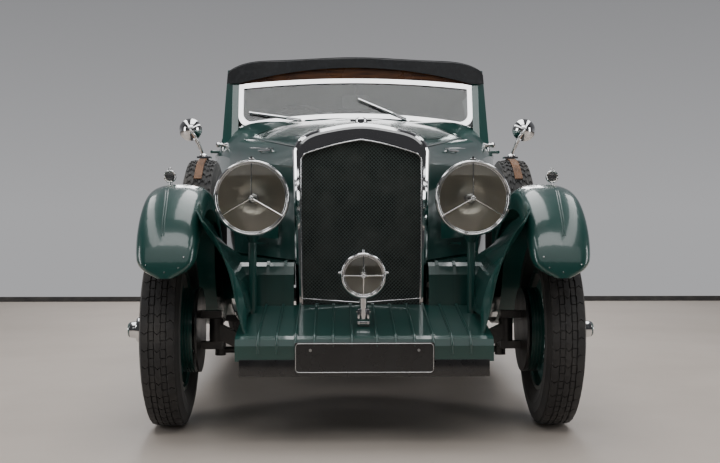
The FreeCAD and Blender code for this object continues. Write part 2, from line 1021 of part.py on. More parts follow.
def make_exhaust():
    """The pipe from the engine's side to the tail with one silencer."""
    y0 = at(engine_setback + engine_length * 0.75)
    y1 = y0 + gearbox_width
    end = at(wheelbase) + rear_overhang - exhaust_tail_in
    points = [
        Vector(engine_width / 2 - overrun, y0, exhaust_port_z),
        Vector(exhaust_x, y0, exhaust_port_z),
        Vector(exhaust_x, y0, (exhaust_port_z + exhaust_z) / 2),
        Vector(exhaust_x, y1, exhaust_z),
        Vector(exhaust_x, end, exhaust_z),
    ]
    bars = [rod(a, b, exhaust_radius) for a, b in zip(points, points[1:])]
    knees = [Part.makeSphere(exhaust_radius, point) for point in points[1:-1]]
    start = Vector(exhaust_x, at(wheelbase * silencer_share), exhaust_z)
    can = Part.makeCylinder(silencer_radius, silencer_length, start, Vector(0, 1, 0))
    save("exhaust", fused(bars[0], *bars[1:], *knees, can).cut(engine()))


def make_tank():
    """The fuel tank between the rail tails, with rounded long edges."""
    y1 = at(wheelbase) + rail_tail - tail_tube_radius * 3
    top = rail_top - dumb_iron_depth * 0.3
    tank = box(-rail_x, rail_x, y1 - tank_length, y1, top - tank_height, top)
    save("fuel_tank", rounded(tank, tank_corner, (1, 0, 0)))


# Radiator


def radiator_outline(inset, setback):
    """The closed outline of the radiator, drawn in by an inset, at a distance behind the axle."""
    y = at(setback)
    half = radiator_half_width - inset
    low_half = radiator_half_width - radiator_waist_in - inset
    top = radiator_top - inset
    shoulder = radiator_shoulder - inset / 3
    low = radiator_bottom + inset
    corner = half * 0.9
    knee = shoulder + (top - shoulder) * 0.42
    edges = [
        Part.LineSegment(Vector(-low_half, y, low), Vector(low_half, y, low)).toShape(),
        Part.LineSegment(Vector(low_half, y, low), Vector(half, y, shoulder)).toShape(),
        curve(
            [
                Vector(half, y, shoulder),
                Vector(corner, y, knee),
                Vector(half * 0.5, y, top - (top - shoulder) * 0.17),
                Vector(0, y, top),
                Vector(-half * 0.5, y, top - (top - shoulder) * 0.17),
                Vector(-corner, y, knee),
                Vector(-half, y, shoulder),
            ]
        ),
        Part.LineSegment(Vector(-half, y, shoulder), Vector(-low_half, y, low)).toShape(),
    ]
    return Part.Wire(edges)


def opening_outline(inset, setback):
    """The grille opening: a shallow peak above, a shallow point below."""
    y = at(setback)
    half = opening_half_width - inset
    low = half - radiator_waist_in / 2
    peak = opening_top - inset
    corner = opening_corner - inset
    foot = opening_bottom + inset
    point = opening_point + inset
    cut = opening_corner_cut
    side_top = corner - cut
    arch_x = half - cut
    arch_z = corner + cut * 0.25
    bend = cut * (1 - math.sqrt(0.5))
    crown_x = arch_x / 2
    crown_z = peak - (peak - arch_z) * opening_arch_share
    edges = [Part.LineSegment(Vector(0, y, point), Vector(low, y, foot)).toShape()]
    edges.append(Part.LineSegment(Vector(low, y, foot), Vector(half, y, side_top)).toShape())
    edges.append(
        Part.Arc(
            Vector(half, y, side_top),
            Vector(half - bend, y, arch_z - bend * 0.9),
            Vector(arch_x, y, arch_z),
        ).toShape()
    )
    edges.append(
        Part.Arc(
            Vector(arch_x, y, arch_z), Vector(crown_x, y, crown_z), Vector(0, y, peak)
        ).toShape()
    )
    others = [mirrored(edge) for edge in edges]
    return Part.Wire(Part.__sortEdges__(edges + others))


def make_radiator():
    """The plated shell, the stone guard in its mouth, the core behind it and the filler cap."""
    front = radiator_setback
    back = radiator_setback + radiator_depth
    rings = []
    for n in range(radiator_nose_steps + 1):
        turn = math.pi / 2 * n / radiator_nose_steps
        inset = radiator_nose_inset * (1 - math.sin(turn))
        rings.append(radiator_outline(inset, front + shell_lip * (1 - math.cos(turn))))
    rings.append(radiator_outline(0, back))
    solid = loft(rings, True)
    mouth = Part.Face(opening_outline(0, front - overrun)).extrude(
        Vector(0, shell_lip + mesh_set_in + overrun, 0)
    )
    inside = loft(
        [
            radiator_outline(shell_wall, front + shell_lip + mesh_set_in),
            radiator_outline(shell_wall, back + overrun),
        ],
        True,
    )
    save("radiator_shell", solid.cut(mouth).cut(inside))

    frame_y = front + mesh_set_in
    save("radiator_mesh", *stone_guard(frame_y))

    core_y = front + shell_lip + mesh_set_in + seat_gap
    core = loft(
        [
            radiator_outline(shell_wall + seat_gap, core_y),
            radiator_outline(shell_wall + seat_gap, core_y + core_depth),
        ],
        True,
    )
    save("radiator_core", core)

    y = at(radiator_setback + shell_lip + cap_radius * 1.3)
    base = radiator_top - sheet
    neck = Part.makeCylinder(cap_neck_radius, cap_neck_height + sheet, Vector(0, y, base))
    seat = Vector(0, y, radiator_top + cap_neck_height)
    cap = Part.makeCylinder(cap_radius, cap_height - cap_ear_height, seat)
    crown = Part.makeCone(
        cap_radius,
        cap_radius / 2,
        cap_ear_height,
        Vector(0, y, radiator_top + cap_neck_height + cap_height - cap_ear_height),
    )
    ears = box(
        -cap_ear_reach,
        cap_ear_reach,
        y - cap_ear_height / 2,
        y + cap_ear_height / 2,
        radiator_top + cap_neck_height + cap_ear_height / 2,
        radiator_top + cap_neck_height + cap_ear_height * 1.5,
    )
    whole = fused(neck, cap, crown, ears)
    save("radiator_cap", whole.cut(solid))


def stone_guard(setback):
    """Two crossed sets of wires, each in its own frame, that meet back to front."""
    half = opening_half_width + opening_top
    centre_z = (opening_top + opening_point) / 2
    layers = []
    for sign, start in ((1, setback), (-1, setback + mesh_wire)):
        outline = Part.Face(opening_outline(seat_gap, start)).extrude(Vector(0, mesh_wire, 0))
        window = Part.Face(opening_outline(mesh_frame, start)).extrude(Vector(0, mesh_wire, 0))
        frame = outline.cut(window)
        count = int(half / mesh_pitch)
        wires = []
        for n in range(-count, count + 1):
            bar = box(
                -half * 2,
                half * 2,
                at(start),
                at(start) + mesh_wire,
                centre_z - mesh_wire / 2,
                centre_z + mesh_wire / 2,
            )
            bar.rotate(Vector(0, 0, centre_z), Vector(0, 1, 0), 45 * sign)
            bar.translate(Vector(0, 0, n * mesh_pitch))
            wires.append(bar)
        lattice = Part.makeCompound(wires).common(outline)
        layers.append(frame.fuse(lattice.Solids).removeSplitter())
    return layers


# Lamps


def lamp_bowl(radius, depth, centre):
    """A round bowl with a rolled rim, hollow, its mouth towards -Y."""
    x, y, z = centre
    outer = [
        Vector(0, 0, 0),
        Vector(radius, 0, 0),
        Vector(radius, lamp_rim_depth, 0),
        Vector(radius - lamp_rim_width / 2, lamp_rim_depth + lamp_rim_width / 2, 0),
    ]
    back = [
        Vector(radius * 0.93, depth * 0.28, 0),
        Vector(radius * 0.74, depth * 0.62, 0),
        Vector(radius * 0.42, depth * 0.90, 0),
        Vector(0, depth, 0),
    ]
    edges = [Part.LineSegment(a, b).toShape() for a, b in zip(outer, outer[1:])]
    edges.append(curve([outer[-1]] + back))
    edges.append(Part.LineSegment(back[-1], outer[0]).toShape())
    solid = Part.Face(Part.Wire(edges)).revolve(Vector(0, 0, 0), Vector(0, 1, 0), 360)
    inner = [
        Vector(0, -overrun, 0),
        Vector(radius - lamp_rim_width, -overrun, 0),
        Vector(radius - lamp_rim_width, lamp_rim_depth, 0),
    ]
    dish = [
        Vector(radius * 0.80, depth * 0.34, 0),
        Vector(radius * 0.50, depth * 0.66, 0),
        Vector(0, depth * 0.84, 0),
    ]
    edges = [Part.LineSegment(a, b).toShape() for a, b in zip(inner, inner[1:])]
    edges.append(curve([inner[-1]] + dish))
    edges.append(Part.LineSegment(dish[-1], inner[0]).toShape())
    hollow = Part.Face(Part.Wire(edges)).revolve(Vector(0, 0, 0), Vector(0, 1, 0), 360)
    bowl = solid.cut(hollow)
    bowl.translate(Vector(x, y, z))
    return bowl


def lamp_lens(radius, centre):
    """A bulged glass disc just inside the rim: a slice between two equal balls."""
    x, y, z = centre
    edge = radius - lamp_rim_width - seat_gap
    ball = (edge * edge + lens_bulge * lens_bulge) / (lens_bulge * 2)
    front = y + lamp_rim_depth * 0.6 - lens_bulge
    disc = Part.makeCylinder(edge, lens_bulge * 2, Vector(x, front - lens_bulge / 2, z), Vector(0, 1, 0))
    outer = Part.makeSphere(ball, Vector(x, front + ball, z))
    inner = Part.makeSphere(ball, Vector(x, front + ball + lens_thickness, z))
    return disc.common(outer).cut(inner)


def lamp_bars(radius, centre, angles):
    """The bars across a lamp behind its glass, from a small hub to the rim."""
    x, y, z = centre
    place = y + lamp_rim_depth
    middle = Vector(x, place, z)
    reach = radius - lamp_rim_width / 2
    bars = [
        Part.makeCylinder(tripod_hub_radius, tripod_bar * 3, Vector(x, place - tripod_bar, z), Vector(0, 1, 0))
    ]
    for angle in angles:
        a = math.radians(angle)
        tip = Vector(x + reach * math.sin(a), place, z + reach * math.cos(a))
        bars.append(rod(middle, tip, tripod_bar / 2))
    return bars


def make_lamps():
    head = (headlamp_x, at(headlamp_setback), headlamp_z)
    fog = (0, at(fog_lamp_setback), fog_lamp_z)
    bowl = lamp_bowl(headlamp_radius, headlamp_depth, head)
    finial = rod(
        Vector(headlamp_x, at(headlamp_setback) + lamp_rim_depth / 2, headlamp_z + headlamp_radius - lamp_wall),
        Vector(
            headlamp_x,
            at(headlamp_setback) + lamp_rim_depth / 2,
            headlamp_z + headlamp_radius + lamp_finial_height,
        ),
        lamp_finial_radius,
    )
    left = fused(bowl, finial, *lamp_bars(headlamp_radius, head, (0, 120, 240)))
    fog_bowl = fused(
        lamp_bowl(fog_lamp_radius, fog_lamp_depth, fog),
        *lamp_bars(fog_lamp_radius, fog, (0, 90, 180, 270)),
    )
    save("lamp_bowls", *pair(left), fog_bowl)
    glass = lamp_lens(headlamp_radius, head)
    save("lamp_lenses", *pair(glass), lamp_lens(fog_lamp_radius, fog))

    return left, fog_bowl


def make_lamp_posts(bowl, fog_bowl, apron, wing):
    """The posts under the headlamps and the fog lamp's pillar, all standing on the apron."""
    post_y = at(headlamp_setback) + headlamp_depth * 0.3
    foot = apron_surface_z(headlamp_setback) - overrun
    top = headlamp_z - headlamp_radius * 0.9
    post = rod(Vector(headlamp_x, post_y, foot), Vector(headlamp_x, post_y, top), lamp_post_radius)
    collar = Part.makeCone(
        lamp_post_radius,
        lamp_post_radius * 2.4,
        headlamp_radius * 0.28,
        Vector(headlamp_x, post_y, headlamp_z - headlamp_radius * 1.18),
    )
    post = fused(post, collar).cut(bowl).cut(apron).cut(wing)
    fog = fog_bracket().cut(fog_bowl).cut(apron)
    post = max(post.Solids, key=lambda solid: solid.Volume)
    fog = max(fog.Solids, key=lambda solid: solid.Volume)
    save("lamp_posts", *pair(post), fog)


def apron_surface_z(setback):
    """The height of the apron's top at a setback."""
    share = (setback - apron_crease_setback) / (apron_rear_setback - apron_crease_setback)
    return apron_crease_z + share * (apron_rear_z - apron_crease_z)


def fog_bracket():
    """The fog lamp's pillar, on a square foot that beds into the apron."""
    y = at(fog_lamp_setback) + fog_lamp_depth * 0.35
    surface = apron_surface_z(fog_lamp_setback + fog_lamp_depth * 0.35)
    half = fog_foot_width / 2
    foot = box(-half, half, y - half, y + half, surface - fog_foot_seat, surface + half)
    top = Vector(0, y, fog_lamp_z - fog_lamp_radius * 0.8)
    pillar = rod(Vector(0, y, surface), top, fog_post_radius)
    return fused(foot, pillar)


def wing_lamp():
    """A small side lamp on a stalk, shaped like a bullet."""
    x = wing_lamp_x
    z = wing_lamp_z
    y = at(wing_lamp_setback)
    shell = Part.makeCylinder(wing_lamp_radius, wing_lamp_length / 3, Vector(x, y, z), Vector(0, 1, 0))
    tail = Part.makeCone(
        wing_lamp_radius,
        wing_lamp_radius / 4,
        wing_lamp_length * 2 / 3,
        Vector(x, y + wing_lamp_length / 3, z),
        Vector(0, 1, 0),
    )
    stalk = rod(
        Vector(x, y + wing_lamp_length / 3, z),
        Vector(x, y + wing_lamp_length / 3, z - wing_lamp_stalk - wing_lamp_radius),
        wing_lamp_radius / 3,
    )
    return fused(shell, tail, stalk)


def make_small_lamps(wing):
    """The lamps on the front wings and the round ones on the tail."""
    side = wing_lamp().cut(wing)
    side = max(side.Solids, key=lambda solid: solid.Volume)
    y = at(wheelbase) + rear_overhang - body_tail_in
    tail = Part.makeCylinder(
        tail_lamp_radius, body_tail_in, Vector(tail_lamp_x, y, tail_lamp_z), Vector(0, 1, 0)
    )
    save("small_lamps", *pair(side), *pair(tail))


# Wings


def wing_station(point, tangent, half, skirt, centre_x, inner_skirt):
    """One cross section of a wing: a crowned strip, square to the line that the wing follows."""
    normal = Vector(0, -tangent.z, tangent.y)
    if normal.z < 0 and abs(normal.z) > abs(normal.y):
        normal = normal * -1
    across_shares = (-1.0, -0.985, -0.90, -0.62, 0.0, 0.62, 0.90, 0.985, 1.0)
    drop_shares = (1.0, 0.62, 0.30, 0.085, 0.0, 0.085, 0.30, 0.62, 1.0)

    def strip(inward):
        points = []
        for a, d in zip(across_shares, drop_shares):
            depth = skirt if a > 0 else inner_skirt
            x = centre_x + a * (half - inward)
            fall = d * (depth - inward * (1 - d)) + inward * (1 - d)
            points.append(Vector(x, point.y, point.z) - normal * fall)
        return points

    outer = strip(0)
    inner = strip(sheet)
    inner.reverse()
    edges = [
        curve(outer),
        Part.LineSegment(outer[-1], inner[0]).toShape(),
        curve(inner),
        Part.LineSegment(inner[-1], outer[0]).toShape(),
    ]
    return Part.Wire(edges)


def wing_path(points, places):
    """Places and tangents along a smooth line through the given points, at shares of its length."""
    line = Part.BSplineCurve()
    line.interpolate(points)
    edge = line.toShape()
    found = []
    for share in places:
        t = edge.getParameterByLength(edge.Length * share)
        found.append((edge.valueAt(t), edge.tangentAt(t)))
    return found


def swept_wing(points, places, halves, skirts, centre_x, inner_skirts):
    """A wing through stations along its crown line, each with its width and its two skirts."""
    path = wing_path(points, places)
    wires = []
    for (place, tangent), half, skirt, inner in zip(path, halves, skirts, inner_skirts):
        wires.append(wing_station(place, tangent, half, skirt, centre_x, inner))
    return loft(wires)


def even_places(count):
    return [n / (count - 1) for n in range(count)]


# Places on the crown of the front wing: shares of the reach ahead of or behind the axle, and of
# the height between the running board and the top.
front_wing_front_shares = ((1.0, 0.455), (0.93, 0.66), (0.62, 0.905))
front_wing_rear_shares = ((0.20, 0.925), (0.42, 0.66), (0.62, 0.34), (0.82, 0.09), (1.0, 0.0))
front_wing_place_shares = (
    0.0,
    0.011,
    0.024,
    0.046,
    0.09,
    0.18,
    0.27,
    0.36,
    0.45,
    0.54,
    0.63,
    0.72,
    0.81,
    0.90,
    1.0,
)
front_wing_width_shares = (
    0.24,
    0.60,
    0.83,
    0.95,
    1.0,
    1.0,
    1.0,
    1.0,
    1.0,
    1.0,
    1.0,
    1.0,
    1.01,
    1.05,
    1.08,
)
front_wing_skirt_shares = (
    0.20,
    0.30,
    0.42,
    0.56,
    0.74,
    0.92,
    1.0,
    1.0,
    1.0,
    0.95,
    0.88,
    0.70,
    0.50,
    0.36,
    0.30,
)
rear_wing_shares = (
    (-1.0, 0.0),
    (-0.86, 0.30),
    (-0.62, 0.72),
    (-0.30, 0.96),
    (0.10, 0.985),
    (0.42, 0.80),
    (0.62, 0.50),
    (0.70, 0.20),
)
rear_wing_width_shares = (0.95, 0.97, 1.0, 1.0, 1.0, 1.0, 1.0, 0.96, 0.86, 0.70)
rear_wing_skirt_shares = (0.3, 0.45, 0.7, 1.0, 1.1, 1.1, 1.0, 0.9, 0.8, 0.6)


def front_wing_line():
    """The crown line of the front wing, from its tip to the running board."""
    low = board_top
    rise = wing_top - low
    points = []
    for reach, height in front_wing_front_shares:
        points.append(Vector(0, at(wing_tip_setback * reach), low + rise * height))
    points.append(Vector(0, front_axle_y, wing_top))
    for reach, height in front_wing_rear_shares:
        points.append(Vector(0, at(wing_end_setback * reach), low + rise * height))
    return points


def spare_well():
    """The tray in the wing that the spare stands in, and the room that it takes from the wing."""
    y = at(spare_setback)
    gap = spare_well_gap
    along = Vector(1, 0, 0)
    half = tyre_width / 2 + gap
    room = Part.makeCylinder(tyre_radius + gap, half * 2, Vector(spare_x - half, y, spare_z), along)
    outer = Part.makeCylinder(
        tyre_radius + gap + sheet,
        (half + sheet) * 2,
        Vector(spare_x - half - sheet, y, spare_z),
        along,
    )
    return room, outer


def under_wing_line(points, reach_down):
    """The region below the crown line, as a slab across the whole wing."""
    line = Part.BSplineCurve()
    line.interpolate(points)
    top = line.toShape()
    start = points[0]
    end = points[-1]
    low = min(start.z, end.z) - reach_down
    edges = [
        top,
        Part.LineSegment(end, Vector(0, end.y, low)).toShape(),
        Part.LineSegment(Vector(0, end.y, low), Vector(0, start.y, low)).toShape(),
        Part.LineSegment(Vector(0, start.y, low), start).toShape(),
    ]
    slab = Part.Face(Part.Wire(edges)).extrude(Vector(wing_half_width * 4, 0, 0))
    slab.translate(Vector(wing_centre_x - wing_half_width * 2, 0, 0))
    return slab


def front_wing():
    """The left front wing with its inner valance and the well for the spare."""
    line = front_wing_line()
    halves = [wing_half_width * s for s in front_wing_width_shares]
    skirts = [wing_skirt * s for s in front_wing_skirt_shares]
    places = front_wing_place_shares
    crown = swept_wing(line, places, halves, skirts, wing_centre_x, skirts)
    room, outer = spare_well()
    below = under_wing_line(line, wing_skirt)
    tray = outer.cut(room).common(below)
    return fused(crown.cut(room), tray)


# The valance from the wing's inner edge down to the chassis. Each row has its setback, then points
# from the top down as shares of half the track and of the wing's height.
valance_nose_shares = (
    (0.793, 0.849), (0.718, 0.772), (0.683, 0.704),
    (0.658, 0.644), (0.635, 0.564), (0.583, 0.415),
)
valance_front_shares = (
    (0.832, 0.900), (0.780, 0.810), (0.712, 0.732),
    (0.650, 0.658), (0.610, 0.584), (0.586, 0.490),
)
valance_mid_shares = (
    (0.838, 0.800), (0.800, 0.745), (0.720, 0.700),
    (0.655, 0.655), (0.610, 0.584), (0.586, 0.490),
)
valance_turn_shares = (
    (0.845, 0.700), (0.840, 0.680), (0.835, 0.650),
    (0.832, 0.610), (0.828, 0.560), (0.825, 0.480),
)
valance_tail_shares = (
    (0.832, 0.680), (0.832, 0.650), (0.832, 0.620),
    (0.830, 0.580), (0.828, 0.530), (0.826, 0.460),
)
valance_row_shares = (
    (valance_nose, valance_nose_shares),
    (-valance_reach, valance_front_shares),
    (valance_reach, valance_mid_shares),
    (valance_turn, valance_turn_shares),
    (valance_tail, valance_tail_shares),
)


def valance_section(setback, shares):
    """A thin curved strip in one plane across the car."""
    points = [(x * valance_base, z * wing_top) for x, z in shares]
    y = at(setback)
    front = [Vector(x, y, z) for x, z in points]
    back = [Vector(x + sheet, y, z) for x, z in points]
    back.reverse()
    edges = [
        curve(front),
        Part.LineSegment(front[-1], back[0]).toShape(),
        curve(back),
        Part.LineSegment(back[-1], front[0]).toShape(),
    ]
    return Part.Wire(edges)


def valance():
    """The inner side of the front wing, closing the gap down to the chassis rail."""
    wires = [valance_section(setback, shares) for setback, shares in valance_row_shares]
    front = loft(wires[:3], True)
    rear = loft(wires[2:], True)
    return fused(front, rear)


def catwalk():
    """The flat ledge between the foot of the bonnet and the valance."""
    y0 = at(step_depth)
    y1 = at(bonnet_rear_setback - sheet)
    front = radiator_half_width - radiator_waist_in / 2 + bonnet_gap
    rear = bonnet_rear_side_x * bonnet_side_rear_shares[-1][0] + bonnet_gap / 2
    mid = valance_row_shares[1][1][3][0] * valance_base + sheet * 2
    wide = valance_row_shares[3][1][2][0] * valance_base
    z = step_top_z - sheet
    points = [
        Vector(front, y0, z),
        Vector(mid, y0, z),
        Vector(mid, at(valance_reach), z),
        Vector(wide, at(valance_turn), z),
        Vector(wide, y1, z),
        Vector(rear, y1, z),
    ]
    return prism(points, Vector(0, 0, sheet))


def rear_wing():
    """The left rear wing, from the running board over the wheel to a short tail."""
    low = rear_wing_end_z
    rise = rear_wing_top - board_top
    reach = board_end_setback - wheelbase
    tail = rear_overhang
    points = []
    for share, height in rear_wing_shares:
        span = -reach if share < 0 else tail
        points.append(Vector(0, rear_axle_y + share * span, board_top + rise * height))
    count = len(rear_wing_width_shares)
    halves = [rear_wing_half_width * s for s in rear_wing_width_shares]
    skirts = [wing_skirt * s for s in rear_wing_skirt_shares]
    places = even_places(count)
    return swept_wing(points, places, halves, skirts, rear_wing_centre_x, skirts[:count])


def make_wings(frame):
    crown = front_wing()
    wing = fused(crown, valance(), catwalk())
    wing = wing.cut(spare_well()[0]).cut(frame)
    wing = max(wing.Solids, key=lambda solid: solid.Volume)
    save("front_wings", *pair(wing))
    rear = rear_wing().cut(outer_body)
    rear = max(rear.Solids, key=lambda solid: solid.Volume)
    save("rear_wings", *pair(rear))
    board = box(
        board_inner_x,
        board_outer_x,
        at(wing_end_setback) + seat_gap,
        at(board_end_setback) - seat_gap,
        board_top - board_thickness,
        board_top,
    )
    save("running_boards", *pair(board))
    return wing


# Front apron and number plates


def front_apron():
    """The ribbed sheet over the dumb irons, its nose and face, and the step beside the radiator."""
    half = apron_half_width
    roll = apron_nose_radius
    crease = at(apron_crease_setback)
    slope_end = at(apron_rear_setback)
    face_y = crease - roll
    low = apron_face_bottom
    mid = roll * math.sqrt(0.5)

    def profile(inset):
        """The side view of the sheet at a depth below its skin."""
        r = roll - inset
        centre = Vector(0, crease, apron_crease_z - roll)
        return [
            Vector(0, face_y + inset, low),
            Vector(0, face_y + inset, apron_crease_z - roll),
            centre + Vector(0, -r * math.sqrt(0.5), r * math.sqrt(0.5)),
            Vector(0, crease, apron_crease_z - inset),
            Vector(0, slope_end, apron_rear_z - inset),
        ]

    outer = profile(0)
    inner = profile(sheet)
    inner.reverse()
    skin = prism(outer + inner, Vector(half * 2, 0, 0))
    skin.translate(Vector(-half, 0, 0))
    pieces = [skin]
    for n in range(apron_rib_pairs):
        x = apron_centre_gap / 2 + n * apron_rib_pitch
        if x > half - apron_rib_width:
            break
        for side in (-1, 1):
            pieces.append(apron_rib(side * x, outer))
    for side in (-1, 1):
        cheek = prism(
            outer + [Vector(0, slope_end, apron_rear_z - rail_height / 3), Vector(0, crease, low + roll)],
            Vector(sheet, 0, 0),
        )
        cheek.translate(Vector(side * (half - sheet / 2) - sheet / 2, 0, 0))
        pieces.append(cheek)
        pieces.append(apron_step(side))
    return fused(pieces[0], *pieces[1:])


def apron_rib(x, outline):
    """One raised rib that follows the slope of the apron and rolls over its nose."""
    h = apron_rib_height
    top = outline[1:]
    slant = h * math.sqrt(0.5)
    rise = [Vector(0, -h, 0), Vector(0, -slant, slant), Vector(0, 0, h), Vector(0, 0, h)]
    raised = [point + move for point, move in zip(top, rise)]
    raised.reverse()
    rib = prism(top + raised, Vector(apron_rib_width, 0, 0))
    rib.translate(Vector(x - apron_rib_width / 2, 0, 0))
    return rib


def apron_step(side):
    """The wall and rolled shoulder that rise beside the foot of the radiator."""
    y0 = at(step_face_setback)
    r = step_roll_radius
    top = step_top_z
    low = apron_rear_z - sheet * 2
    m = r * (1 - math.sqrt(0.5))

    def line(inset):
        return [
            Vector(0, y0 + inset, low),
            Vector(0, y0 + inset, top - r),
            Vector(0, y0 + m + inset * math.sqrt(0.5), top - m - inset * math.sqrt(0.5)),
            Vector(0, y0 + r, top - inset),
            Vector(0, y0 + step_depth, top - inset),
        ]

    outer = line(0)
    inner = line(sheet)
    inner.reverse()
    width = step_outer_x - step_inner_x
    wall_piece = prism(outer + inner, Vector(width, 0, 0))
    wall_piece.translate(Vector(step_inner_x, 0, 0))
    pieces = [wall_piece]
    x = step_inner_x + step_rib_pitch / 2
    while x < step_outer_x - apron_rib_width:
        h = apron_rib_height
        raised = [point + Vector(0, -h if n < 3 else 0, h if n > 1 else 0) for n, point in enumerate(outer)]
        raised.reverse()
        rib = prism(outer + raised, Vector(apron_rib_width, 0, 0))
        rib.translate(Vector(x - apron_rib_width / 2, 0, 0))
        pieces.append(rib)
        x += step_rib_pitch
    step = fused(pieces[0], *pieces[1:])
    return step if side > 0 else mirrored(step)


def plate_at(y):
    """A blank number plate standing with its front face at a place, and its two bolt heads."""
    half = plate_width / 2
    z = plate_z
    plate = box(-half, half, y, y + plate_thickness, z - plate_height / 2, z + plate_height / 2)
    return rounded(plate, plate_thickness, (0, 1, 0))


def make_front_end(wing, frame):
    apron = front_apron()
    for piece in (wing, mirrored(wing), frame):
        apron = apron.cut(piece)
    biggest = max(apron.Solids, key=lambda solid: solid.Volume)
    save("front_apron", biggest)
    rear_plate = plate_at(overall_length / 2 - body_tail_in)
    rear_plate.translate(Vector(0, 0, rear_plate_z - plate_z))
    front_plate = plate_at(-overall_length / 2).cut(biggest).cut(frame)
    front_plate = max(front_plate.Solids, key=lambda solid: solid.Volume)
    save("number_plates", front_plate, rear_plate)
    return biggest


# Bonnet

# Outline of the bonnet as shares of the radiator's half width and height in front, and of the
# scuttle's half width and height behind, from the centre line to the shoulder, then down the side.
bonnet_top_front_shares = ((0.0, 1.0), (0.50, 0.985), (0.88, 0.950), (0.963, 0.930))
bonnet_side_front_shares = ((0.963, 0.930), (0.995, 0.900), (0.985, 0.757), (0.967, 0.538))
bonnet_top_rear_shares = ((0.0, 1.0), (0.42, 0.985), (0.74, 0.951), (0.835, 0.931))
bonnet_side_rear_shares = ((0.835, 0.931), (0.97, 0.905), (1.0, 0.76), (0.97, 0.50))


def offset_line(points, depth):
    """A line of (x, z) points moved towards its right-hand side."""
    moved = []
    for n, (x, z) in enumerate(points):
        x0, z0 = points[max(n - 1, 0)]
        x1, z1 = points[min(n + 1, len(points) - 1)]
        run = math.hypot(x1 - x0, z1 - z0)
        moved.append((x + (z1 - z0) / run * depth, z - (x1 - x0) / run * depth))
    return moved


def strip_wire(points, y, depth):
    """A closed band of even depth under a smooth line of (x, z) points."""
    outer = [Vector(x, y, z) for x, z in points]
    inner = [Vector(x, y, z) for x, z in offset_line(points, depth)]
    inner.reverse()
    edges = [
        curve(outer),
        Part.LineSegment(outer[-1], inner[0]).toShape(),
        curve(inner),
        Part.LineSegment(inner[-1], outer[0]).toShape(),
    ]
    return Part.Wire(edges)


def bonnet_lines(shares_front, shares_rear):
    """The two end outlines of a bonnet panel as (x, z) points."""
    front = [(x * radiator_half_width, z * radiator_top) for x, z in shares_front]
    rear = [(x * bonnet_rear_side_x, z * bonnet_rear_top_z) for x, z in shares_rear]
    return front, rear


def trimmed_start(points, gap):
    """The line with its first point moved along it by a gap."""
    (x0, z0), (x1, z1) = points[0], points[1]
    run = math.hypot(x1 - x0, z1 - z0)
    first = (x0 + (x1 - x0) * gap / run, z0 + (z1 - z0) * gap / run)
    return [first] + list(points[1:])


def trimmed_end(points, gap):
    """The line with its last point moved back along it by a gap."""
    flipped = trimmed_start(list(reversed(points)), gap)
    return list(reversed(flipped))


def bonnet_panel(shares_front, shares_rear, start_gap, end_gap):
    """One sheet panel between the radiator and the scuttle."""
    y0 = at(radiator_setback + radiator_depth + bonnet_gap)
    y1 = at(bonnet_rear_setback - bonnet_gap)
    front, rear = bonnet_lines(shares_front, shares_rear)
    wires = []
    for line, y in ((front, y0), (rear, y1)):
        line = trimmed_end(trimmed_start(line, start_gap), end_gap)
        wires.append(strip_wire(line, y, bonnet_thickness))
    return loft(wires, True)


def bonnet_hinge_ends(shares_front, shares_rear, index):
    """Both ends of a hinge line, at the middle of the sheet."""
    y0 = at(radiator_setback + radiator_depth + bonnet_gap)
    y1 = at(bonnet_rear_setback - bonnet_gap)
    front, rear = bonnet_lines(shares_front, shares_rear)
    a = front[index]
    b = rear[index]
    drop = bonnet_thickness / 2
    return Vector(a[0], y0, a[1] - drop), Vector(b[0], y1, b[1] - drop)


def louvre(x0, x1, y, z_top, length):
    """One upright louvre: a wedge that stands out from the side and opens to the rear."""
    outline = [
        Vector(x0, y, 0),
        Vector(x1 + louvre_height, y + louvre_width, 0),
        Vector(x1, y + louvre_width, 0),
    ]
    wedge = Part.Face(polygon(outline)).extrude(Vector(0, 0, length))
    wedge.translate(Vector(0, 0, z_top - length))
    return wedge


def side_x_at(setback, z_share):
    """The half width of the bonnet side at a setback, at the height of a share of its depth."""
    y0 = radiator_setback + radiator_depth + bonnet_gap
    y1 = bonnet_rear_setback - bonnet_gap
    t = (setback - y0) / (y1 - y0)
    front, rear = bonnet_lines(bonnet_side_front_shares, bonnet_side_rear_shares)
    xf = front[2][0] + (front[3][0] - front[2][0]) * z_share
    xr = rear[2][0] + (rear[3][0] - rear[2][0]) * z_share
    return xf + (xr - xf) * t


def bonnet_side():
    """A side panel with its row of upright louvres and a handle."""
    gap = bonnet_hinge_radius + bonnet_hinge_gap
    panel = bonnet_panel(bonnet_side_front_shares, bonnet_side_rear_shares, gap, 0)
    pieces = [panel]
    middle = (radiator_setback + radiator_depth + bonnet_rear_setback) / 2
    for n in range(louvre_count):
        setback = middle + (n - (louvre_count - 1) / 2) * louvre_pitch
        x0 = side_x_at(setback, louvre_share) - bonnet_thickness / 2
        x1 = side_x_at(setback + louvre_width, louvre_share) - bonnet_thickness / 2
        pieces.append(louvre(x0, x1, at(setback), louvre_top_z, louvre_length))
    y = at(middle)
    x = side_x_at(middle, 1.0)
    handle_z = bonnet_bottom_z + louvre_pitch * 1.5
    reach = louvre_height * 2
    high = handle_z + louvre_height
    root = x - reach * 2
    stem = box(root, x + reach, y - louvre_height, y + louvre_height, handle_z, high)
    grip = box(x + reach, x + reach + louvre_height, y - louvre_pitch, y + louvre_pitch, handle_z, high)
    return fused(pieces[0], *pieces[1:], stem, grip)


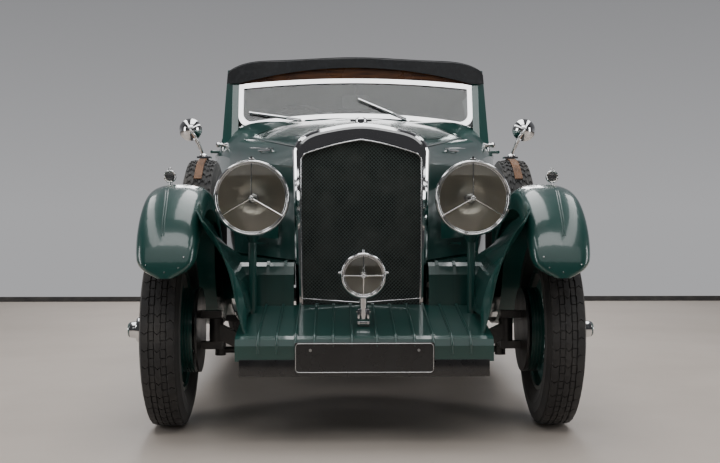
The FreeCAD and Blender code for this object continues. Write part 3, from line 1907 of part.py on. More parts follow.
def make_bonnet():
    start = bonnet_hinge_radius + bonnet_hinge_gap
    top = bonnet_panel(bonnet_top_front_shares, bonnet_top_rear_shares, start, 0)
    a, b = bonnet_hinge_ends(bonnet_top_front_shares, bonnet_top_rear_shares, 3)
    bead = rod(a, b, bonnet_hinge_radius)
    top = fused(top, bead)
    side = bonnet_side()
    save("bonnet_top_left", top)
    save("bonnet_top_right", mirrored(top))
    save("bonnet_sides", *pair(side))
    a, b = bonnet_hinge_ends(bonnet_top_front_shares, bonnet_top_rear_shares, 0)
    along = (b - a).normalize() * bonnet_gap * 1.2
    strip = rod(a - along, b + along, bonnet_hinge_radius - bonnet_thickness / 5)
    save("bonnet_hinge", strip.cut(scuttle_solid()).cut(radiator_block()))


def radiator_block():
    """The plain outside of the radiator shell, to trim pieces that meet it."""
    return loft(
        [radiator_outline(0, radiator_setback), radiator_outline(0, radiator_setback + radiator_depth)], True
    )


# Body


def body_row(row, inset):
    """One body section as a closed wire, drawn in by an inset."""
    share, sill, waist, waist_z, shoulder, shoulder_z, crown_z, low = row
    y = at(bonnet_rear_setback) + share * (wheelbase + rear_overhang - bonnet_rear_setback - body_tail_in)
    bottom = low * waist_height - (overrun if inset else 0)
    xs = sill * body_half_width - inset
    xw = waist * body_half_width - inset
    xh = shoulder * body_half_width - inset * 0.8
    zw = waist_z * waist_height
    zh = shoulder_z * waist_height - inset * 0.7
    zc = crown_z * waist_height - inset
    zm = (bottom + zw) / 2
    xm = (xs * 0.35 + xw * 0.65) + (xw - xs) * 0.12
    side = [Vector(xs, y, bottom), Vector(xm, y, zm), Vector(xw, y, zw)]
    shoulder = Vector(xh, y, zh)
    bend = (side[2] + shoulder) / 2 + Vector(wall / 5, 0, wall / 5)
    slope = Vector(xh / 2, y, zh + (zc - zh) * 0.74)
    over = [side[2], bend, shoulder, slope, Vector(0, y, zc)]
    over += [Vector(-p.x, y, p.z) for p in reversed(over[:-1])]
    other = [Vector(-p.x, y, p.z) for p in reversed(side)]
    edges = [
        Part.LineSegment(other[-1], side[0]).toShape(),
        curve(side),
        curve(over),
        curve(other),
    ]
    return Part.Wire(edges)


# Each row is one body section: its place from the bonnet to the tail as a share of that length,
# then half widths at the sill, the waist and the shoulder as shares of the widest, and heights of
# the waist, the shoulder, the crown and the lower edge as shares of the waist height.
body_row_shares = (
    (0.000, 0.735, 0.784, 0.930, 0.655, 1.0227, 1.0987, 0.296),
    (0.055, 0.790, 0.850, 0.950, 0.732, 1.049, 1.113, 0.296),
    (0.112, 0.850, 0.908, 0.960, 0.800, 1.073, 1.1245, 0.296),
    (0.237, 0.930, 0.985, 0.970, 0.880, 1.055, 1.107, 0.296),
    (0.488, 0.950, 1.000, 0.970, 0.889, 1.035, 1.064, 0.296),
    (0.678, 0.915, 0.965, 0.955, 0.836, 1.005, 1.025, 0.300),
    (0.820, 0.830, 0.890, 0.900, 0.740, 0.965, 0.985, 0.320),
    (0.915, 0.720, 0.780, 0.800, 0.620, 0.880, 0.910, 0.345),
    (0.975, 0.600, 0.650, 0.660, 0.500, 0.740, 0.770, 0.375),
    (1.000, 0.520, 0.560, 0.560, 0.420, 0.610, 0.630, 0.400),
)


def body_loft(inset):
    """The whole body from the bonnet to the tail as one solid, drawn in by an inset."""
    return loft([body_row(row, inset) for row in body_row_shares])


def wheel_well(extra):
    """The room round the left rear wheel, grown by an extra thickness."""
    radius = well_radius + extra
    x = well_inner_x - extra
    return Part.makeCylinder(radius, body_half_width * 2, Vector(x, rear_axle_y, tyre_radius), Vector(1, 0, 0))


def axle_room():
    """The room across the car for the rear axle, its springs and the rail arches."""
    half = well_inner_x + overrun
    return box(
        -half,
        half,
        rear_axle_y - rear_arch_length / 2,
        rear_axle_y + rear_arch_length / 2,
        body_bottom - overrun * 4,
        rail_top + rear_arch_lift,
    )


def side_outline(front, rear, low, high, corner):
    """An upright outline in the side view, with rounded lower corners."""
    y0 = at(front)
    y1 = at(rear)
    m = corner * (1 - math.sqrt(0.5))
    edges = [
        Part.LineSegment(Vector(0, y0, high), Vector(0, y0, low + corner)).toShape(),
        Part.Arc(Vector(0, y0, low + corner), Vector(0, y0 + m, low + m), Vector(0, y0 + corner, low)).toShape(),
        Part.LineSegment(Vector(0, y0 + corner, low), Vector(0, y1 - corner, low)).toShape(),
        Part.Arc(Vector(0, y1 - corner, low), Vector(0, y1 - m, low + m), Vector(0, y1, low + corner)).toShape(),
        Part.LineSegment(Vector(0, y1, low + corner), Vector(0, y1, high)).toShape(),
        Part.LineSegment(Vector(0, y1, high), Vector(0, y0, high)).toShape(),
    ]
    return Part.Wire(edges)


def door_hinge_y():
    """The place of the upright hinge line behind the door."""
    return at(door_rear_setback) - shut_gap / 2


def door_block(gap):
    """The room of the left door, made smaller all round by a gap.

    Its front edge is part of a circle about the hinge line, so the door's full thickness swings
    clear of the post with an even gap.
    """
    outline = side_outline(
        door_front_setback,
        door_rear_setback - gap,
        door_sill + gap,
        waist_height + (0 if gap else overrun),
        door_corner - gap,
    )
    block = Part.Face(outline).extrude(Vector(body_half_width, 0, 0))
    block.translate(Vector(door_inner_x, 0, 0))
    radius = door_hinge_y() - at(door_front_setback) - gap
    sweep = Part.makeCylinder(radius, waist_height * 2, Vector(body_half_width + door_hinge_out, door_hinge_y(), 0))
    behind = box(0, body_half_width * 2, door_hinge_y(), door_hinge_y() + body_half_width, 0, waist_height * 2)
    return block.common(sweep.fuse(behind))


def cabin_block():
    """Everything above the waist between the scuttle and the rear deck."""
    half = body_half_width + overrun
    return box(
        -half,
        half,
        at(scuttle_rear_setback),
        at(cabin_rear_setback),
        waist_height,
        waist_height * 1.4,
    )


def scuttle_block():
    """The region of the body in front of the cabin that belongs to the scuttle."""
    half = body_half_width * 1.2
    return box(-half, half, at(bonnet_rear_setback) - overrun, at(scuttle_setback), 0, waist_height * 1.4)


def scuttle_solid():
    """The outside of the scuttle, filled."""
    return outer_body.common(scuttle_block())


def make_scuttle():
    """The scuttle: the body skin from the bonnet back to the screen, closed by the bulkhead."""
    wall_block = box(
        -body_half_width,
        body_half_width,
        at(bonnet_rear_setback) - overrun,
        at(bonnet_rear_setback + bulkhead),
        0,
        waist_height * 1.4,
    )
    room = inner_body.cut(wall_block)
    solid = scuttle_solid().cut(room)
    tunnel = tunnel_block(tunnel_wall)
    arch = box(
        -well_inner_x,
        well_inner_x,
        at(bonnet_rear_setback) - overrun,
        at(bonnet_rear_setback + bulkhead) + overrun,
        0,
        rail_top,
    )
    solid = solid.cut(tunnel).cut(arch)
    floor = floor_slab().common(scuttle_block())
    save("scuttle", fused(solid, floor).cut(tunnel_block(0)))


def tunnel_block(extra):
    """The room over the gearbox, grown by an extra thickness."""
    half = gearbox_width / 2 + tunnel_gap + extra
    top = gearbox_bottom + gearbox_height + tunnel_gap + extra
    return box(-half, half, at(bonnet_rear_setback) - overrun, at(tunnel_end_setback) + extra, 0, top)


def floor_slab():
    """The cabin floor on the rails, with the raised part over the rear axle."""
    y0 = at(bonnet_rear_setback) + bulkhead / 2
    step_y = rear_axle_y - rear_arch_length / 2 - floor_thickness
    step_end = rear_axle_y + rear_arch_length / 2 + floor_thickness
    tail = at(wheelbase + rear_overhang)
    half = body_half_width
    low = box(-half, half, y0, step_y + floor_thickness, rail_top, rail_top + floor_thickness)
    high_z = rail_top + rear_arch_lift
    high = box(-half, half, step_y, step_end, high_z, high_z + floor_thickness)
    riser = box(-half, half, step_y, step_y + floor_thickness, rail_top, high_z)
    back = box(-half, half, step_end - floor_thickness, step_end, rail_top, high_z)
    end = box(-half, half, step_end - floor_thickness, tail, rail_top, rail_top + floor_thickness)
    slab = fused(low, high, riser, back, end)
    return slab.common(inner_body_plain)


def make_body():
    """The body tub with its floor, and the two doors that are cut from its sides."""
    shell = body_shell.cut(scuttle_block())
    tunnel = tunnel_block(tunnel_wall).cut(tunnel_block(0))
    cover = tunnel.cut(
        box(-body_half_width, body_half_width, at(0), at(tunnel_end_setback) + tunnel_wall, 0, rail_top)
    )
    floor = floor_slab().cut(tunnel_block(0)).cut(scuttle_block())
    room = axle_room()
    tub = shell.cut(room)
    for side in (wheel_well(0), mirrored(wheel_well(0))):
        floor = floor.cut(side)
    tub = fused(tub, floor, cover.cut(scuttle_block()))
    tub = tub.cut(cabin_block())
    door_room = door_block(0)
    tub = tub.cut(door_room).cut(mirrored(door_room))
    lid_room, lid = boot_lid()
    tub = tub.cut(lid_room)
    tub = max(tub.Solids, key=lambda solid: solid.Volume)
    save("body_tub", tub)
    door = body_shell.common(door_block(shut_gap)).cut(cabin_block())
    door = max(door.Solids, key=lambda solid: solid.Volume)
    door = fused(door, *door_handle())
    save("door_left", door)
    save("door_right", mirrored(door))
    save("boot_lid", lid)
    return tub


def door_handle():
    """A straight plated handle near the door's front edge."""
    y = at(handle_setback)
    x = handle_stem_x + handle_reach
    stem = rod(Vector(handle_stem_x, y, handle_z), Vector(x, y, handle_z), handle_radius)
    start = Vector(x, y - handle_radius, handle_z)
    grip = rod(start, start + Vector(handle_length / 8, handle_length, 0), handle_radius)
    return stem, grip


def boot_hinge():
    """A point on the hinge line at the front edge of the boot lid."""
    return Vector(0, at(boot_lid_front_setback), boot_hinge_z)


def boot_outline(inset):
    """The room of the boot lid: an upright block whose rear end is round about the hinge line."""
    half = boot_lid_half_width - inset
    y0 = at(boot_lid_front_setback) + inset
    block = box(-half, half, y0, y0 + boot_lid_reach * 2, boot_hinge_z - boot_lid_reach, waist_height * 1.2)
    sweep = Part.makeCylinder(
        boot_lid_reach - inset, half * 2, boot_hinge() - Vector(half, 0, 0), Vector(1, 0, 0)
    )
    return rounded(block, boot_corner - inset, (0, 0, 1)).common(sweep)


def boot_lid():
    """The lid in the tail deck and the room that it takes."""
    room = boot_outline(0)
    lid = body_shell.common(boot_outline(shut_gap))
    lid = max(lid.Solids, key=lambda solid: solid.Volume)
    return room, lid


# Windscreen


def raked(shape):
    """A piece built upright at the screen's base, leaned back by the rake."""
    shape.rotate(Vector(0, at(screen_base_setback), screen_base_z), Vector(1, 0, 0), -screen_rake_angle)
    return shape


def screen_outline(inset, y):
    """The outline of the screen: a bowed foot with rounded lower corners, and an arched top."""
    half = screen_half_width - inset
    c = screen_corner - inset * 0.5
    low = screen_base_z + inset
    mid = low + screen_crown
    top = screen_top_z - inset
    m = c * (1 - math.sqrt(0.5))
    edges = [
        Part.LineSegment(Vector(-half, y, top), Vector(-half, y, low + c)).toShape(),
        Part.Arc(Vector(-half, y, low + c), Vector(-half + m, y, low + m), Vector(-half + c, y, low)).toShape(),
        Part.Arc(Vector(-half + c, y, low), Vector(0, y, mid), Vector(half - c, y, low)).toShape(),
        Part.Arc(Vector(half - c, y, low), Vector(half - m, y, low + m), Vector(half, y, low + c)).toShape(),
        Part.LineSegment(Vector(half, y, low + c), Vector(half, y, top)).toShape(),
        Part.Arc(
            Vector(half, y, top), Vector(0, y, top + screen_top_crown), Vector(-half, y, top)
        ).toShape(),
    ]
    return Part.Wire(edges)


def make_windscreen(header, hood):
    """The plated frame and glass between two painted pillars."""
    y = at(screen_base_setback)
    body = outer_body
    depth = Vector(0, screen_frame_depth, 0)
    block = Part.Face(screen_outline(0, y)).extrude(depth)
    foot = box(
        -screen_half_width + screen_corner,
        screen_half_width - screen_corner,
        y,
        y + screen_frame_depth,
        screen_base_z - screen_foot_drop,
        screen_base_z + screen_frame_width / 2,
    )
    opening = Part.Face(screen_outline(screen_frame_width, y - overrun)).extrude(depth * 3)
    groove_y = y + (screen_frame_depth - screen_glass) / 2
    pane = Part.Face(screen_outline(screen_frame_width, groove_y)).extrude(Vector(0, screen_glass, 0))
    frame = raked(fused(block, foot).cut(opening))
    frame = frame.cut(body).cut(header)
    save("windscreen_frame", max(frame.Solids, key=lambda solid: solid.Volume))
    glass = raked(pane).cut(body).cut(header)
    save("windscreen_glass", max(glass.Solids, key=lambda solid: solid.Volume))

    lean = math.tan(math.radians(screen_rake_angle))
    low = screen_base_z - pillar_drop
    high = header_side_z + overrun
    y_low = y - pillar_drop * lean
    y_high = y + (high - screen_base_z) * lean
    x_low = screen_half_width + seat_gap
    wires = []
    for place_y, z in ((y_low, low), (y_high, high)):
        x1 = x_low + pillar_width - (0 if z == low else pillar_taper)
        wires.append(
            polygon(
                [
                    Vector(x_low, place_y, z),
                    Vector(x_low + pillar_face_width, place_y, z),
                    Vector(x1, place_y + pillar_depth * 0.8, z),
                    Vector(x1, place_y + pillar_depth, z),
                    Vector(x_low, place_y + pillar_depth, z),
                ]
            )
        )
    post = loft(wires, True)
    post = post.cut(body).cut(header).cut(hood)
    post = max(post.Solids, key=lambda solid: solid.Volume)
    save("windscreen_pillars", *pair(post))
    save("wipers", *wipers(frame))


def wipers(frame):
    """Two wiper arms with their blades, one parked low and one upright."""
    y = at(screen_base_setback) - wiper_arm_radius * 3
    found = []
    for x, angle in ((-wiper_pivot_x, -wiper_park_angle), (wiper_pivot_x, -wiper_up_angle)):
        z = screen_base_z + wiper_pivot_rise
        pivot = Vector(x, y, z)
        stud = Part.makeCylinder(
            wiper_pivot_radius, wiper_arm_radius * 5, Vector(x, y - wiper_arm_radius * 2, z), Vector(0, 1, 0)
        )
        a = math.radians(angle)
        tip = Vector(x + wiper_reach * math.sin(a), y, z + wiper_reach * math.cos(a))
        arm = rod(pivot, tip, wiper_arm_radius)
        half = wiper_blade_length / 2
        blade = box(
            tip.x - wiper_blade_width / 2,
            tip.x + wiper_blade_width / 2,
            y - wiper_arm_radius,
            y + wiper_blade_depth,
            tip.z - half,
            tip.z + half,
        )
        blade.rotate(tip, Vector(0, 1, 0), angle + wiper_blade_turn * (1 if angle < -wiper_up_angle else 0))
        piece = raked(fused(stud, arm, blade)).cut(frame).cut(outer_body)
        found.append(max(piece.Solids, key=lambda solid: solid.Volume))
    return found


# Hood

# Each row is one hood section: its place from the header to the rear as a share of that length,
# then half widths at the waist and at the rail over the side glass as shares of the body's, and
# the heights of that rail and of the crest between the waist and the highest point.
hood_row_shares = (
    (0.00, 0.900, 0.856, 0.780, 0.935),
    (0.16, 0.925, 0.872, 0.800, 0.982),
    (0.38, 0.950, 0.884, 0.805, 1.000),
    (0.56, 0.955, 0.880, 0.785, 0.990),
    (0.74, 0.945, 0.860, 0.720, 0.930),
    (0.88, 0.915, 0.815, 0.560, 0.760),
    (0.96, 0.880, 0.760, 0.330, 0.500),
    (1.00, 0.840, 0.700, 0.130, 0.230),
)


def hood_row(row, inset):
    """One hood section as a closed wire, drawn in by an inset."""
    share, foot, rail_share, rail_height_share, crest_share = row
    length = hood_rear_setback - header_setback
    y = at(header_setback) + share * length
    if inset and share == 0:
        y -= overrun
    if inset and share == 1:
        y -= inset
    rise = hood_crest_z - waist_height
    xf = foot * body_half_width - inset
    xr = rail_share * body_half_width - inset
    zf = waist_height - (overrun if inset else 0)
    zr = waist_height + rise * rail_height_share - inset * 0.6
    zc = waist_height + rise * crest_share - inset
    right = [Vector(xf, y, zf), Vector((xf + xr) / 2 + inset * 0.1, y, (zf + zr) / 2), Vector(xr, y, zr)]
    over = [
        right[-1],
        Vector(xr * 0.93, y, zr + (zc - zr) * 0.36),
        Vector(xr * 0.60, y, zr + (zc - zr) * 0.78),
        Vector(0, y, zc),
    ]
    over += [Vector(-p.x, y, p.z) for p in reversed(over[:-1])]
    left = [Vector(-p.x, y, p.z) for p in reversed(right)]
    edges = [
        Part.LineSegment(left[-1], right[0]).toShape(),
        curve(right),
        curve(over),
        curve(left),
    ]
    return Part.Wire(edges)


def hood_loft(inset):
    return loft([hood_row(row, inset) for row in hood_row_shares])


def window_block():
    """The room over the doors that the side glass stands in."""
    half = body_half_width * 1.2
    return box(
        -half,
        half,
        at(header_setback) - overrun * 4,
        at(door_rear_setback),
        waist_height - overrun,
        hood_side_z,
    )


def rear_window_block(inset):
    half = rear_window_width / 2 - inset
    low = rear_window_z - rear_window_height / 2 + inset
    high = rear_window_z + rear_window_height / 2 - inset
    block = box(-half, half, at(door_rear_setback), at(hood_rear_setback) + overrun, low, high)
    return rounded(block, rear_window_corner - inset, (0, 1, 0))


def arched_room(side_z, centre_z, setback, depth):
    """The room above an arched lower edge, between two upright planes across the car."""
    y = at(setback)
    half = screen_half_width
    wide = body_half_width
    top = hood_crest_z + overrun
    edges = [
        Part.LineSegment(Vector(-wide, y, side_z), Vector(-half, y, side_z)).toShape(),
        Part.Arc(Vector(-half, y, side_z), Vector(0, y, centre_z), Vector(half, y, side_z)).toShape(),
        Part.LineSegment(Vector(half, y, side_z), Vector(wide, y, side_z)).toShape(),
        Part.LineSegment(Vector(wide, y, side_z), Vector(wide, y, top)).toShape(),
        Part.LineSegment(Vector(wide, y, top), Vector(-wide, y, top)).toShape(),
        Part.LineSegment(Vector(-wide, y, top), Vector(-wide, y, side_z)).toShape(),
    ]
    return Part.Face(Part.Wire(edges)).extrude(Vector(0, depth, 0))


def make_hood(tub):
    """The raised fabric hood with its drawn-down front edge, its header rail and its rear window."""
    outer = hood_loft(0)
    inner = hood_loft(hood_thickness)
    cloth = outer.cut(inner)
    band_room = arched_room(hood_band_side_z, hood_band_centre_z, header_setback, hood_band_depth)
    band = outer.common(band_room)
    header_front = header_setback + hood_band_depth
    header_room = arched_room(header_low_side_z, header_low_centre_z, header_front, header_depth)
    header = inner.common(header_room)
    hood = cloth.cut(window_block()).cut(rear_window_block(0)).cut(tub)
    hood = fused(hood, band)
    hood = max(hood.Solids, key=lambda solid: solid.Volume)
    pane = cloth.common(rear_window_block(0))
    pane = max(pane.Solids, key=lambda solid: solid.Volume)
    save("hood", hood)
    save("rear_window", pane)
    header = max(header.Solids, key=lambda solid: solid.Volume)
    save("hood_header", header)
    make_inner_mirror(header)
    return header, hood


def make_inner_mirror(header):
    """The driver's mirror behind the screen, on a thin stem from the header."""
    y = at(inner_mirror_setback)
    half = inner_mirror_width / 2
    rise = inner_mirror_height / 2
    head = box(-half, half, y, y + inner_mirror_depth, inner_mirror_z - rise, inner_mirror_z + rise)
    head = rounded(head, rise / 3, (0, 1, 0))
    middle = y + inner_mirror_depth / 2
    stem = rod(Vector(0, middle, inner_mirror_z), Vector(0, middle, hood_crest_z), inner_mirror_stem)
    whole = fused(head, stem).cut(header)
    save("interior_mirror", min(whole.Solids, key=lambda solid: solid.CenterOfMass.z))


def side_glass_edge(foot_x, head_x, foot_y, head_y):
    """One upright edge of a door glass, leaning in towards the top."""
    across = Vector(side_glass, 0, 0)
    foot = Vector(foot_x, foot_y, waist_height)
    head = Vector(head_x, head_y, side_glass_top_z)
    return polygon([foot, foot + across, head + across, head])


def side_glass_pane():
    """The glass of the left door: it follows the door in plan and leans in to meet the hood rail."""
    y0 = at(door_front_setback) + shut_gap + glass_front_gap
    y1 = at(door_rear_setback - shut_gap) - glass_front_gap
    back = (side_glass_top_z - waist_height) * math.tan(math.radians(screen_rake_angle))
    front = side_glass_edge(glass_foot_front_x, glass_head_front_x, y0, y0 + back)
    rear = side_glass_edge(glass_foot_rear_x, glass_head_rear_x, y1, y1)
    return loft([front, rear], True)


def make_side_glass():
    pane = side_glass_pane()
    save("door_glass_left", pane)
    save("door_glass_right", mirrored(pane))


# Cabin


def make_cabin():
    """The dashboard, seats and steering wheel."""
    dash_room = box(
        -body_half_width,
        body_half_width,
        at(dash_setback),
        at(dash_setback) + dash_depth,
        waist_height - dash_height / 3,
        waist_height * 1.4,
    )
    dash = inner_body_plain.common(dash_room)
    save("dashboard", max(dash.Solids, key=lambda solid: solid.Volume))
    floor_top = rail_top + floor_thickness
    bases = []
    backs = []
    stands = []
    for side in (-1, 1):
        x = side * seat_x
        half = seat_width / 2
        y0 = at(seat_setback)
        stand = box(x - half * 0.8, x + half * 0.8, y0 + overrun, y0 + seat_depth * 0.85, floor_top, seat_base_z)
        stands.append(stand)
        base = box(x - half, x + half, y0, y0 + seat_depth, seat_base_z, seat_base_z + seat_thickness)
        base = base.makeFillet(seat_corner, base.Edges)
        back = seat_back(x, half, y0 + seat_depth, seat_base_z, seat_back_height)
        bases.append(base)
        backs.append(back.cut(base))
    y0 = at(bench_setback)
    bench_z = rail_top + rear_arch_lift + floor_thickness
    bench_top = bench_z + seat_thickness
    half = bench_half_width
    bench = box(-half, half, y0 - bench_depth / 2, y0 + bench_depth / 2, bench_z, bench_top)
    bench = bench.makeFillet(seat_corner, bench.Edges)
    bench_back = seat_back(0, bench_half_width, y0 + bench_depth / 2, bench_z, bench_back_height)
    bases.append(bench)
    under = box(-half, half, y0, y0 + bench_depth * 2, rail_top, bench_z)
    backs.append(bench_back.cut(bench).cut(under))
    save("seat_cushions", *bases)
    save("seat_backs", *backs)
    save("seat_stands", *stands)
    make_steering()


def seat_back(x, half, y, z, height):
    """A thick backrest, leaned to the rear about its foot."""
    back = box(x - half, x + half, y - seat_back_thickness / 2, y + seat_back_thickness / 2, z, z + height)
    back = back.makeFillet(seat_corner, back.Edges)
    back.rotate(Vector(x, y, z + seat_thickness / 2), Vector(1, 0, 0), -seat_back_angle)
    return back


def make_steering():
    """The steering wheel, built flat and tilted, and the column that carries it."""
    hub = Vector(steering_x, at(steering_setback), steering_z)
    tilt = 90 - steering_column_angle
    axis = Vector(0, math.cos(math.radians(tilt)), math.sin(math.radians(tilt)))
    ring = Part.makeTorus(steering_wheel_radius, steering_grip_radius, hub, axis)
    boss = Part.makeCylinder(steering_hub_radius, steering_hub_depth, hub - axis * (steering_hub_depth / 2), axis)
    across = Vector(1, 0, 0)
    up = axis.cross(across)
    arms = []
    for angle in (45, 135, 225, 315):
        a = math.radians(angle)
        tip = hub + across * (steering_wheel_radius * math.cos(a)) + up * (steering_wheel_radius * math.sin(a))
        arms.append(rod(hub, tip, steering_grip_radius / 2))
    save("steering_wheel", fused(boss, ring, *arms))
    start = hub - axis * (steering_hub_depth / 2 + seat_gap)
    length = (hub.y - at(bonnet_rear_setback + bulkhead)) / axis.y - steering_hub_depth
    column = rod(start, start - axis * length, steering_column_radius)
    save("steering_column", column)


# Mirrors on the spares


def spare_strap(side):
    """A strap over the top of a spare tyre, and the clamp that carries a round mirror."""
    y = at(spare_setback)
    x = spare_x - strap_width / 2
    along = Vector(1, 0, 0)
    r = tyre_radius
    ring = Part.makeCylinder(r + strap_thickness, strap_width, Vector(x, y, spare_z), along)
    ring = ring.cut(Part.makeCylinder(r, strap_width, Vector(x, y, spare_z), along))
    reach = r * 1.5
    keep = prism(
        [
            Vector(x - overrun, y, spare_z),
            Vector(x - overrun, y - reach, spare_z + reach * 1.1),
            Vector(x - overrun, y + reach, spare_z + reach * 1.1),
        ],
        Vector(strap_width + overrun * 2, 0, 0),
    )
    return ring.common(keep)


def mirror():
    """The round mirror with its stem and the clamp foot on the strap."""
    top = spare_z + tyre_radius + strap_thickness
    y = at(spare_setback)
    foot = box(
        spare_x - mirror_foot_width / 2,
        spare_x + mirror_foot_width / 2,
        y - mirror_foot_width / 2,
        y + mirror_foot_width / 2,
        top,
        top + mirror_foot_height,
    )
    head = Vector(mirror_x, y - mirror_depth / 2, mirror_z)
    bowl = Part.makeCylinder(mirror_radius, mirror_depth, head, Vector(0, 1, 0))
    stem = rod(Vector(spare_x, y, top + mirror_foot_height / 2), Vector(mirror_x, y, mirror_z), mirror_stem_radius)
    return fused(bowl, stem, foot)


def make_mirrors():
    save("spare_straps", *pair(spare_strap(1)))
    save("spare_mirrors", *pair(mirror()))


outer_body = body_loft(0)
inner_body_plain = body_loft(wall)
for well in (wheel_well(0), mirrored(wheel_well(0))):
    outer_body = outer_body.cut(well)
for well in (wheel_well(wall), mirrored(wheel_well(wall))):
    inner_body_plain = inner_body_plain.cut(well)
inner_body = inner_body_plain
moulding = body_loft(-moulding_height).common(
    box(
        -body_half_width * 1.1,
        body_half_width * 1.1,
        at(bonnet_rear_setback) + shut_gap,
        at(wheelbase + rear_wing_moulding_reach),
        moulding_z,
        moulding_z + moulding_width,
    )
)
tail_wall = box(
    -body_half_width,
    body_half_width,
    at(wheelbase + rear_overhang - body_tail_in) - wall,
    at(wheelbase * 2),
    0,
    waist_height * 2,
)
body_shell = outer_body.fuse(moulding.cut(inner_body_plain)).removeSplitter()
body_shell = body_shell.cut(inner_body.cut(tail_wall))


def main():
    os.makedirs("parts", exist_ok=True)
    make_wheels()
    frame = make_chassis()
    make_springs(frame)
    make_front_axle()
    make_knuckles()
    make_rear_axle()
    make_engine()
    make_exhaust()
    make_tank()
    make_radiator()
    bowl, fog_bowl = make_lamps()
    wing = make_wings(frame)
    make_small_lamps(wing)
    apron = make_front_end(wing, frame)
    make_lamp_posts(bowl, fog_bowl, apron, wing)
    make_bonnet()
    make_scuttle()
    tub = make_body()
    header, hood = make_hood(tub)
    make_windscreen(header, hood)
    make_side_glass()
    make_cabin()
    make_mirrors()


main()
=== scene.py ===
# %% [markdown]
# # Dressing a touring car of the thirties
# The frame of this car comes as solids at real size, in metres, with its front towards -Y. This lesson
# gives the solids their finishes, and makes the pieces that solids can't show well: tyre treads, the
# stone guard's lattice, padded seats, the fabric hood, beading, bolts and small trim.
# Each step says first what the piece is on the real car, and then why it is made this way.

# %% Load the frame
import math
from contextlib import contextmanager

import bmesh
import bpy
from mathutils import Matrix, Vector


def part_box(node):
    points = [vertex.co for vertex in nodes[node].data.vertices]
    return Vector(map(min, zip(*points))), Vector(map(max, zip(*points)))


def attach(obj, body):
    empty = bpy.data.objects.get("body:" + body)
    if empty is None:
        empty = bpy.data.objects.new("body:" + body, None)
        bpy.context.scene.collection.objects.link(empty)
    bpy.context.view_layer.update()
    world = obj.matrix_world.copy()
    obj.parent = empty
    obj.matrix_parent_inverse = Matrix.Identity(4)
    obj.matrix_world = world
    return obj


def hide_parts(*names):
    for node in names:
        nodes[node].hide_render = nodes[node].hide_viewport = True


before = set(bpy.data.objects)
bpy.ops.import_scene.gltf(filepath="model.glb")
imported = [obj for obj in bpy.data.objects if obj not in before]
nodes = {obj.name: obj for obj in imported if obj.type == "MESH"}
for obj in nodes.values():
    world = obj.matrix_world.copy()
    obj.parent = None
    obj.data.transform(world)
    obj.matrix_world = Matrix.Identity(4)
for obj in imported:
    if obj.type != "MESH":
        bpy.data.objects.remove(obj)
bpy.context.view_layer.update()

scene = bpy.context.scene

# %% [markdown]
# ## Where things are
# The front axle is the natural origin for the nose of a car, so places are given as a setback behind
# it, as on a draughtsman's sheet. One small function turns a setback into Y.

# %% Main places
AXLE_Y = -1.725
WHEELBASE = 3.2
HALF_TRACK = 0.745
TYRE_RADIUS = 0.372


def at(setback):
    return AXLE_Y + setback


# %% [markdown]
# ## Camera
# The photograph was taken from knee height, a little over four metres in front of the axle, with a
# lens of 56 mm on a frame 36 mm wide. The camera looks very slightly down and to the right.

# %% Camera
bpy.ops.object.select_all(action="DESELECT")
bpy.ops.object.camera_add(location=(-0.098, at(-4.4), 0.8425))
camera = bpy.context.object
camera.rotation_euler = (math.radians(88.9), 0, math.radians(-1.2))
camera.data.sensor_width = 36
camera.data.lens = 55.9
scene.camera = camera

# %% [markdown]
# ## Studio
# A plain pale floor that ends behind the car gives the photograph's low horizon. The world is a grey
# wall behind the car and a dark room in front of it, because plating and lacquer show whatever they
# face: dark surroundings give them their depth, and a few large soft lights draw the highlights.


# %% Helpers for selecting, editing and nodes
def nothing_selected():
    if bpy.context.object and bpy.context.object.mode != "OBJECT":
        bpy.ops.object.mode_set(mode="OBJECT")
    bpy.ops.object.select_all(action="DESELECT")


def only(piece):
    nothing_selected()
    piece.select_set(True)
    bpy.context.view_layer.objects.active = piece


@contextmanager
def editing(piece):
    """Edit mode with the whole piece selected, then object mode again."""
    only(piece)
    bpy.ops.object.mode_set(mode="EDIT")
    bpy.ops.mesh.select_all(action="SELECT")
    yield
    bpy.ops.object.mode_set(mode="OBJECT")


def newest(name):
    """The piece that was added last, under its own name."""
    bpy.context.object.name = name
    return bpy.context.object


def apply_place(piece):
    only(piece)
    bpy.ops.object.transform_apply(location=True, rotation=True, scale=True)


def applied(piece, name, kind, **settings):
    """A modifier with its settings, applied at once."""
    only(piece)
    modifier = piece.modifiers.new(name, kind)
    for setting, value in settings.items():
        setattr(modifier, setting, value)
    bpy.ops.object.modifier_apply(modifier=name)


def struck(piece, start, aim, **limit):
    """Where a ray meets a piece and which way it faces there, or nothing twice."""
    hit, place, normal, _ = piece.ray_cast(Vector(start), Vector(aim), **limit)
    return (place, normal) if hit else (None, None)


def add_node(tree, kind, values=None, **settings):
    node = tree.nodes.new("ShaderNode" + kind)
    for name, value in settings.items():
        setattr(node, name, value)
    for socket, value in (values or {}).items():
        node.inputs[socket].default_value = value
    return node


def wire_up(tree, named, lines):
    """Links sockets, each line reading node.socket > node.socket. A number is a socket's place."""
    def found(sockets, name):
        return sockets[int(name) if name.isdigit() else name]

    for line in lines.split(","):
        (source, out), (target, into) = [end.strip().split(".") for end in line.split(">")]
        tree.links.new(found(named[source].outputs, out), found(named[target].inputs, into))


# %% Floor, world and lights
nothing_selected()
bpy.ops.mesh.primitive_plane_add(size=1, location=(0, -2.6, 0))
floor = newest("floor")
floor.scale = (26, 13.6, 1)
apply_place(floor)

